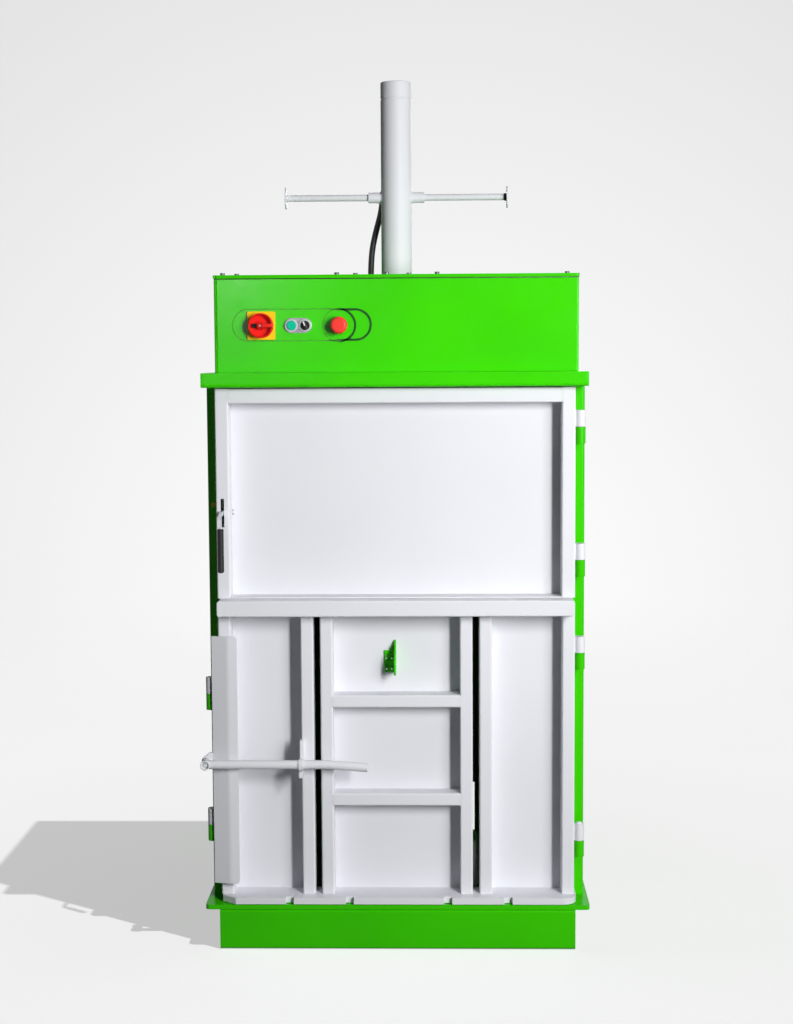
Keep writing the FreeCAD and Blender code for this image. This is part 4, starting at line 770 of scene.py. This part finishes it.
def catchRivets(shape):
    radius, crown, rise = rivetSizes["radius"], rivetSizes["crown"], rivetSizes["rise"]
    profile = [(0, -1), (radius, -1), (radius, 0.2), (crown, 1.2), (0, rise)]
    for place in rivetSizes["at"]:
        lathe(shape, profile, place, "front", rivetSizes["sides"])


# the uneven mark that the latch has rubbed into the column's paint
markSizes = {
    "at": (-441.0, -240.0, 1050.0), "width": 10.0, "height": 14.0, "steps": 24,
    "lobes": 3, "unevenness": 0.12, "sunk": 0.1, "thickness": 0.25,
}


def rubbedMark(shape):
    x, y, z = markSizes["at"]
    outline = []
    for i in range(markSizes["steps"]):
        turn = 2 * math.pi * i / markSizes["steps"]
        wobble = 1 + markSizes["unevenness"] * math.sin(markSizes["lobes"] * turn)
        across = markSizes["width"] / 2 * (1 + math.cos(turn)) * wobble
        over = markSizes["height"] / 2 * (1 + math.sin(turn))
        outline.append((x + across, y + markSizes["sunk"], z + over))
    extrude(shape, outline, (0, -markSizes["thickness"], 0))


# the plug in the lowest hinge
plugSizes = {
    "at": (434.0, -285.0, 293.5), "radius": 7.6, "edge": 1.2, "height": 6.0, "sides": 32,
    "dome": ((0.85, 3.8), (0.5, 5.4)),  # share of the radius, height
}


def hingePlug(shape):
    radius = plugSizes["radius"]
    dome = [(radius * share, height) for share, height in plugSizes["dome"]]
    profile = [(0, 0), (radius, 0), (radius, plugSizes["edge"])] + dome + [(0, plugSizes["height"])]
    lathe(shape, profile, plugSizes["at"], "up", plugSizes["sides"])


meshPiece("latchCatchRivets", catchRivets, finishes["zinc"], "upper_door")
meshPiece("latchRubMark", rubbedMark, rubbedPrimer, "frame")
meshPiece("hingePlug", hingePlug, finishes["light_paint"], "lower_door")

# screws round the rear panel, each with a domed head and a socket in it
panelScrews = {
    "back": 310.0, "xs": (-400, -200, 6, 212, 412), "zs": (1386.0, 1580.0), "head": 5.5, "sides": 24,
}


def rearScrews(shape):
    head = panelScrews["head"]
    profile = [(0, -1), (head, -1), (head, 0.6), (head - 1.4, 2.4), (1.6, 3.0), (1.2, 1.2), (0, 1.2)]
    for x in panelScrews["xs"]:
        for z in panelScrews["zs"]:
            lathe(shape, profile, (x, panelScrews["back"], z), "back", panelScrews["sides"])


meshPiece("rearPanelScrews", rearScrews, finishes["zinc"], "frame")

# guards behind the rear slots: a flat bar on feet that stand on the rib tubes keeps the straps in.
# They also block the back light, and their dark paint is painted shade, so the slots show black
slotShadeGuardSizes = {
    "across": (158.0, 219.0), "web": (313.5, 317.0), "low": 245.0, "high": 1300.0, "webRound": 0.8,
    "feet": ((162.0, 174.0), (203.0, 215.0)), "levels": (262.0, 780.0, 1270.0),
    "ribBack": 303.0, "footRise": 14.0, "footInto": 0.5, "footRound": 0.5,
}


def slotShadeGuards(shape):
    g = slotShadeGuardSizes
    front, back = g["web"]
    for side in (1, -1):
        left, right = sorted(side * x for x in g["across"])
        block(shape, (left, front, g["low"]), (right, back, g["high"]), g["webRound"])
        for foot in g["feet"]:
            left, right = sorted(side * x for x in foot)
            for level in g["levels"]:
                top = (right, front + g["footInto"], level + g["footRise"])
                block(shape, (left, g["ribBack"], level), top, g["footRound"])


# painted shade: the dark guards darken what the slots show
meshPiece("slotShadeGuards", slotShadeGuards, finishes["dark_paint"], "frame")

# weld beads, painted over: round the reel sleeves, along ribs, beams and hinge leaves
weldSizes = {
    "sleeveRadius": 13.6, "barrelRadius": 38.0, "armHeight": 1798.0, "sleeveSteps": 36,
    "stitch": 60.0, "stitchEvery": 190.0,
    "sideX": 393.4, "sideFrom": -176, "sideTo": 256, "sideRibs": (360.0, 670.0, 980.0), "sideRib": 50,
    "rearXs": (150.5, 226.5), "rearY": 265.4, "rearLow": 112, "rearHigh": 1330,
    "beamX": 447.6, "beamY": -178.8, "beamLow": 1339, "beamHigh": 1369,
    "leafX": 434, "leafY": -240.4, "leafHeight": 38.7, "leafInset": 1,
    "rightLeaves": (1202.5, 889.5, 668.5, 215.5), "leftLeaves": (572.0, 254.0),
    "keeperX": -220.6, "keeperY": -297.3, "keeperLow": 424, "keeperHigh": 496,
}


def sleeveBeads(shape):
    w = weldSizes
    for side in (-1, 1):
        path = []
        for i in range(w["sleeveSteps"]):
            turn = 2 * math.pi * i / w["sleeveSteps"]
            y, z = w["sleeveRadius"] * math.cos(turn), w["armHeight"] + w["sleeveRadius"] * math.sin(turn)
            path.append((side * math.sqrt(w["barrelRadius"] ** 2 - y * y), y, z))
        bead(shape, path, True, beadSizes["fine"])


def stitches(shape, start, end):
    start, end = Vector(start), Vector(end)
    length = (end - start).length
    count = max(1, round(length / weldSizes["stitchEvery"]))
    along = (end - start).normalized()
    for i in range(count):
        middle = start + along * length * (i + 0.5) / count
        half = along * weldSizes["stitch"] / 2
        bead(shape, [middle - half, middle + half])


def uprightBead(shape, x, y, low, high, radius=beadSizes["radius"]):
    bead(shape, [(x, y, low), (x, y, high)], radius=radius)


def frameBeads(shape):
    w = weldSizes
    for side in (-1, 1):
        for low in w["sideRibs"]:
            for z in (low, low + w["sideRib"]):
                stitches(shape, (side * w["sideX"], w["sideFrom"], z), (side * w["sideX"], w["sideTo"], z))
        for x in w["rearXs"]:
            stitches(shape, (side * x, w["rearY"], w["rearLow"]), (side * x, w["rearY"], w["rearHigh"]))
        uprightBead(shape, side * w["beamX"], w["beamY"], w["beamLow"], w["beamHigh"])
    for x, leaves in ((w["leafX"], w["rightLeaves"]), (-w["leafX"], w["leftLeaves"])):
        for low in leaves:
            uprightBead(shape, x, w["leafY"], low + w["leafInset"], low + w["leafHeight"] - w["leafInset"])


def keeperBead(shape):
    w = weldSizes
    uprightBead(shape, w["keeperX"], w["keeperY"], w["keeperLow"], w["keeperHigh"], beadSizes["fine"])


meshPiece("reelSleeveWelds", sleeveBeads, finishes["light_paint"], "frame")
meshPiece("frameWelds", frameBeads, finishes["green_paint"], "frame")
meshPiece("keeperWeld", keeperBead, finishes["light_paint"], "lower_door")
print("small parts, print and welds made")


# 1 for what the camera and reflections see, 0 for the light that falls on the part
def seenRay(tree):
    ray = addNode(tree, "ShaderNodeLightPath")
    seen = combine(tree, "MAXIMUM", ray.outputs["Is Camera Ray"], ray.outputs["Is Glossy Ray"])
    return combine(tree, "MAXIMUM", seen, ray.outputs["Is Transmission Ray"])


# pale paper backdrop, brightest behind the part, which gives little light of its own
backdrop = {
    "light": 0.010, "glowTowards": (-0.005, 0.99, -0.142), "glowSpan": (0.085, 0.40), "glow": (0.965, 0.776),
}
white = (1, 1, 1, 1)


def makeBackdrop():
    world = bpy.data.worlds.new("paleStudio")
    bpy.context.scene.world = world
    world.use_nodes = True
    tree = world.node_tree
    tree.nodes.clear()
    towards = addNode(tree, "ShaderNodeTexCoord").outputs["Generated"]
    middle = {1: backdrop["glowTowards"]}
    aside = addNode(tree, "ShaderNodeVectorMath", {"operation": "SUBTRACT"}, middle, {0: towards})
    apart = addNode(tree, "ShaderNodeVectorMath", {"operation": "LENGTH"}, None, {0: aside.outputs["Vector"]})
    pale = remap(tree, apart.outputs["Value"], backdrop["glowSpan"], backdrop["glow"])
    falling = addNode(tree, "ShaderNodeBackground", None, {"Color": white, "Strength": backdrop["light"]})
    shown = addNode(tree, "ShaderNodeBackground", None, {"Color": white}, {"Strength": pale})
    both = mixShaders(tree, seenRay(tree), falling, shown)
    addNode(tree, "ShaderNodeOutputWorld", None, None, {"Surface": both.outputs[0]})


# the floor: seen pale with a soft shadow, fading into the backdrop. The part gets a dim bounce from it
floorValues = {
    "radius": 9.0, "segments": 96, "fadeSpan": (1.9, 6.0), "grainScale": 2.0, "tint": (0.44, 0.46),
    "glowSpan": (0.6, 1.9), "glow": (0.525, 0.57), "bounce": 0.09,
}


def makeFloor():
    f = floorValues
    mesh = bpy.data.meshes.new("studioFloor")
    shape = bmesh.new()
    bmesh.ops.create_circle(shape, cap_ends=True, segments=f["segments"], radius=f["radius"])
    shape.to_mesh(mesh)
    shape.free()
    floor = bpy.data.objects.new("studioFloor", mesh)
    bpy.context.scene.collection.objects.link(floor)
    material, tree = emptyMaterial("paleStudioFloor")
    place = objectPlace(tree)
    away = addNode(tree, "ShaderNodeVectorMath", {"operation": "LENGTH"}, None, {0: place}).outputs["Value"]
    fade = remap(tree, away, f["fadeSpan"], wholeSpan, "SMOOTHSTEP")
    tint = remap(tree, noise(tree, place, f["grainScale"], detail=3.0), wholeSpan, f["tint"])
    tone = addNode(tree, "ShaderNodeCombineColor", None, None, {0: tint, 1: tint, 2: tint})
    matt = addNode(tree, "ShaderNodeBsdfDiffuse", None, None, {"Color": tone.outputs["Color"]})
    brighter = remap(tree, away, f["glowSpan"], f["glow"])
    glow = addNode(tree, "ShaderNodeEmission", None, {"Color": white}, {"Strength": brighter})
    lit = addNode(tree, "ShaderNodeAddShader", None, None, {0: matt.outputs[0], 1: glow.outputs[0]})
    clear = addNode(tree, "ShaderNodeBsdfTransparent")
    dim = (f["bounce"], f["bounce"], f["bounce"], 1)
    bounce = addNode(tree, "ShaderNodeBsdfDiffuse", None, {"Color": dim})
    both = mixShaders(tree, seenRay(tree), bounce, mixShaders(tree, fade, lit, clear))
    addNode(tree, "ShaderNodeOutputMaterial", None, None, {"Surface": both.outputs[0]})
    mesh.materials.append(material)
    return floor


# softboxes that light the part alone. The sheen box only puts a gloss on the housing and beam,
# and the sun only draws the floor's shadow
softboxes = {
    "tallSoftbox": {
        "place": (1.62, -3.2, 1.75), "aim": (0.0, -0.3, 1.15),
        "size": (0.35, 1.5), "power": 46, "spread": 120,
    },
    "backSoftbox": {
        "place": (0.6, 3.4, 2.6), "aim": (0, 0, 1.0),
        "size": (2.4, 1.6), "power": 45, "spread": 180,
    },
    "leftSoftbox": {
        "place": (-3.4, 2.2, 1.4), "aim": (0, 0, 1.0),
        "size": (1.6, 1.6), "power": 1.5, "spread": 180,
    },
    "sideSoftbox": {
        "place": (2.15, -2.85, 1.75), "aim": (0.0, -0.3, 1.15),
        "size": (0.8, 1.5), "power": 15, "spread": 120,
    },
    "topSoftbox": {
        "place": (2.1, -2.2, 3.7), "aim": (0, -0.3, 0.9),
        "size": (1.2, 1.4), "power": 10, "spread": 180,
    },
    "sheenSoftbox": {
        "place": (-1.0, -4.3, 1.88), "aim": (-0.3, -0.285, 1.48),
        "size": (0.5, 0.4), "power": 38, "spread": 180,
    },
}
sunValues = {"strength": 2.5, "along": (-0.44, 0.31, -1.0), "width": 0.6}


def collectionOf(name, members):
    collection = bpy.data.collections.new(name)
    for member in members:
        collection.objects.link(member)
    return collection


def addLamp(name, data, along, receivers):
    lamp = bpy.data.objects.new(name, data)
    bpy.context.scene.collection.objects.link(lamp)
    lamp.rotation_euler = Vector(along).to_track_quat("-Z", "Y").to_euler()
    lamp.light_linking.receiver_collection = receivers
    return lamp


def makeLamps(floor):
    floorOnly = collectionOf("floorOnly", [floor])
    housingOnly = collectionOf("housingOnly", [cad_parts["housing_shell"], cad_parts["front_beam"]])
    allButFloor = collectionOf("allButFloor", [floor])
    for entry in allButFloor.collection_objects:
        entry.light_linking.link_state = "EXCLUDE"
    for name, box in softboxes.items():
        data = bpy.data.lights.new(name, "AREA")
        data.shape = "RECTANGLE"
        data.size, data.size_y = box["size"]
        data.energy = box["power"]
        data.spread = math.radians(box["spread"])
        forSheen = name == "sheenSoftbox"
        along = Vector(box["aim"]) - Vector(box["place"])
        lamp = addLamp(name, data, along, housingOnly if forSheen else allButFloor)
        lamp.location = box["place"]
        lamp.visible_diffuse = not forSheen
    sunData = bpy.data.lights.new("shadowSun", "SUN")
    sunData.energy = sunValues["strength"]
    sunData.angle = math.radians(sunValues["width"])
    addLamp("shadowSun", sunData, sunValues["along"], floorOnly)


makeBackdrop()
makeLamps(makeFloor())
bpy.context.scene.view_settings.view_transform = "Standard"
print("studio lit")
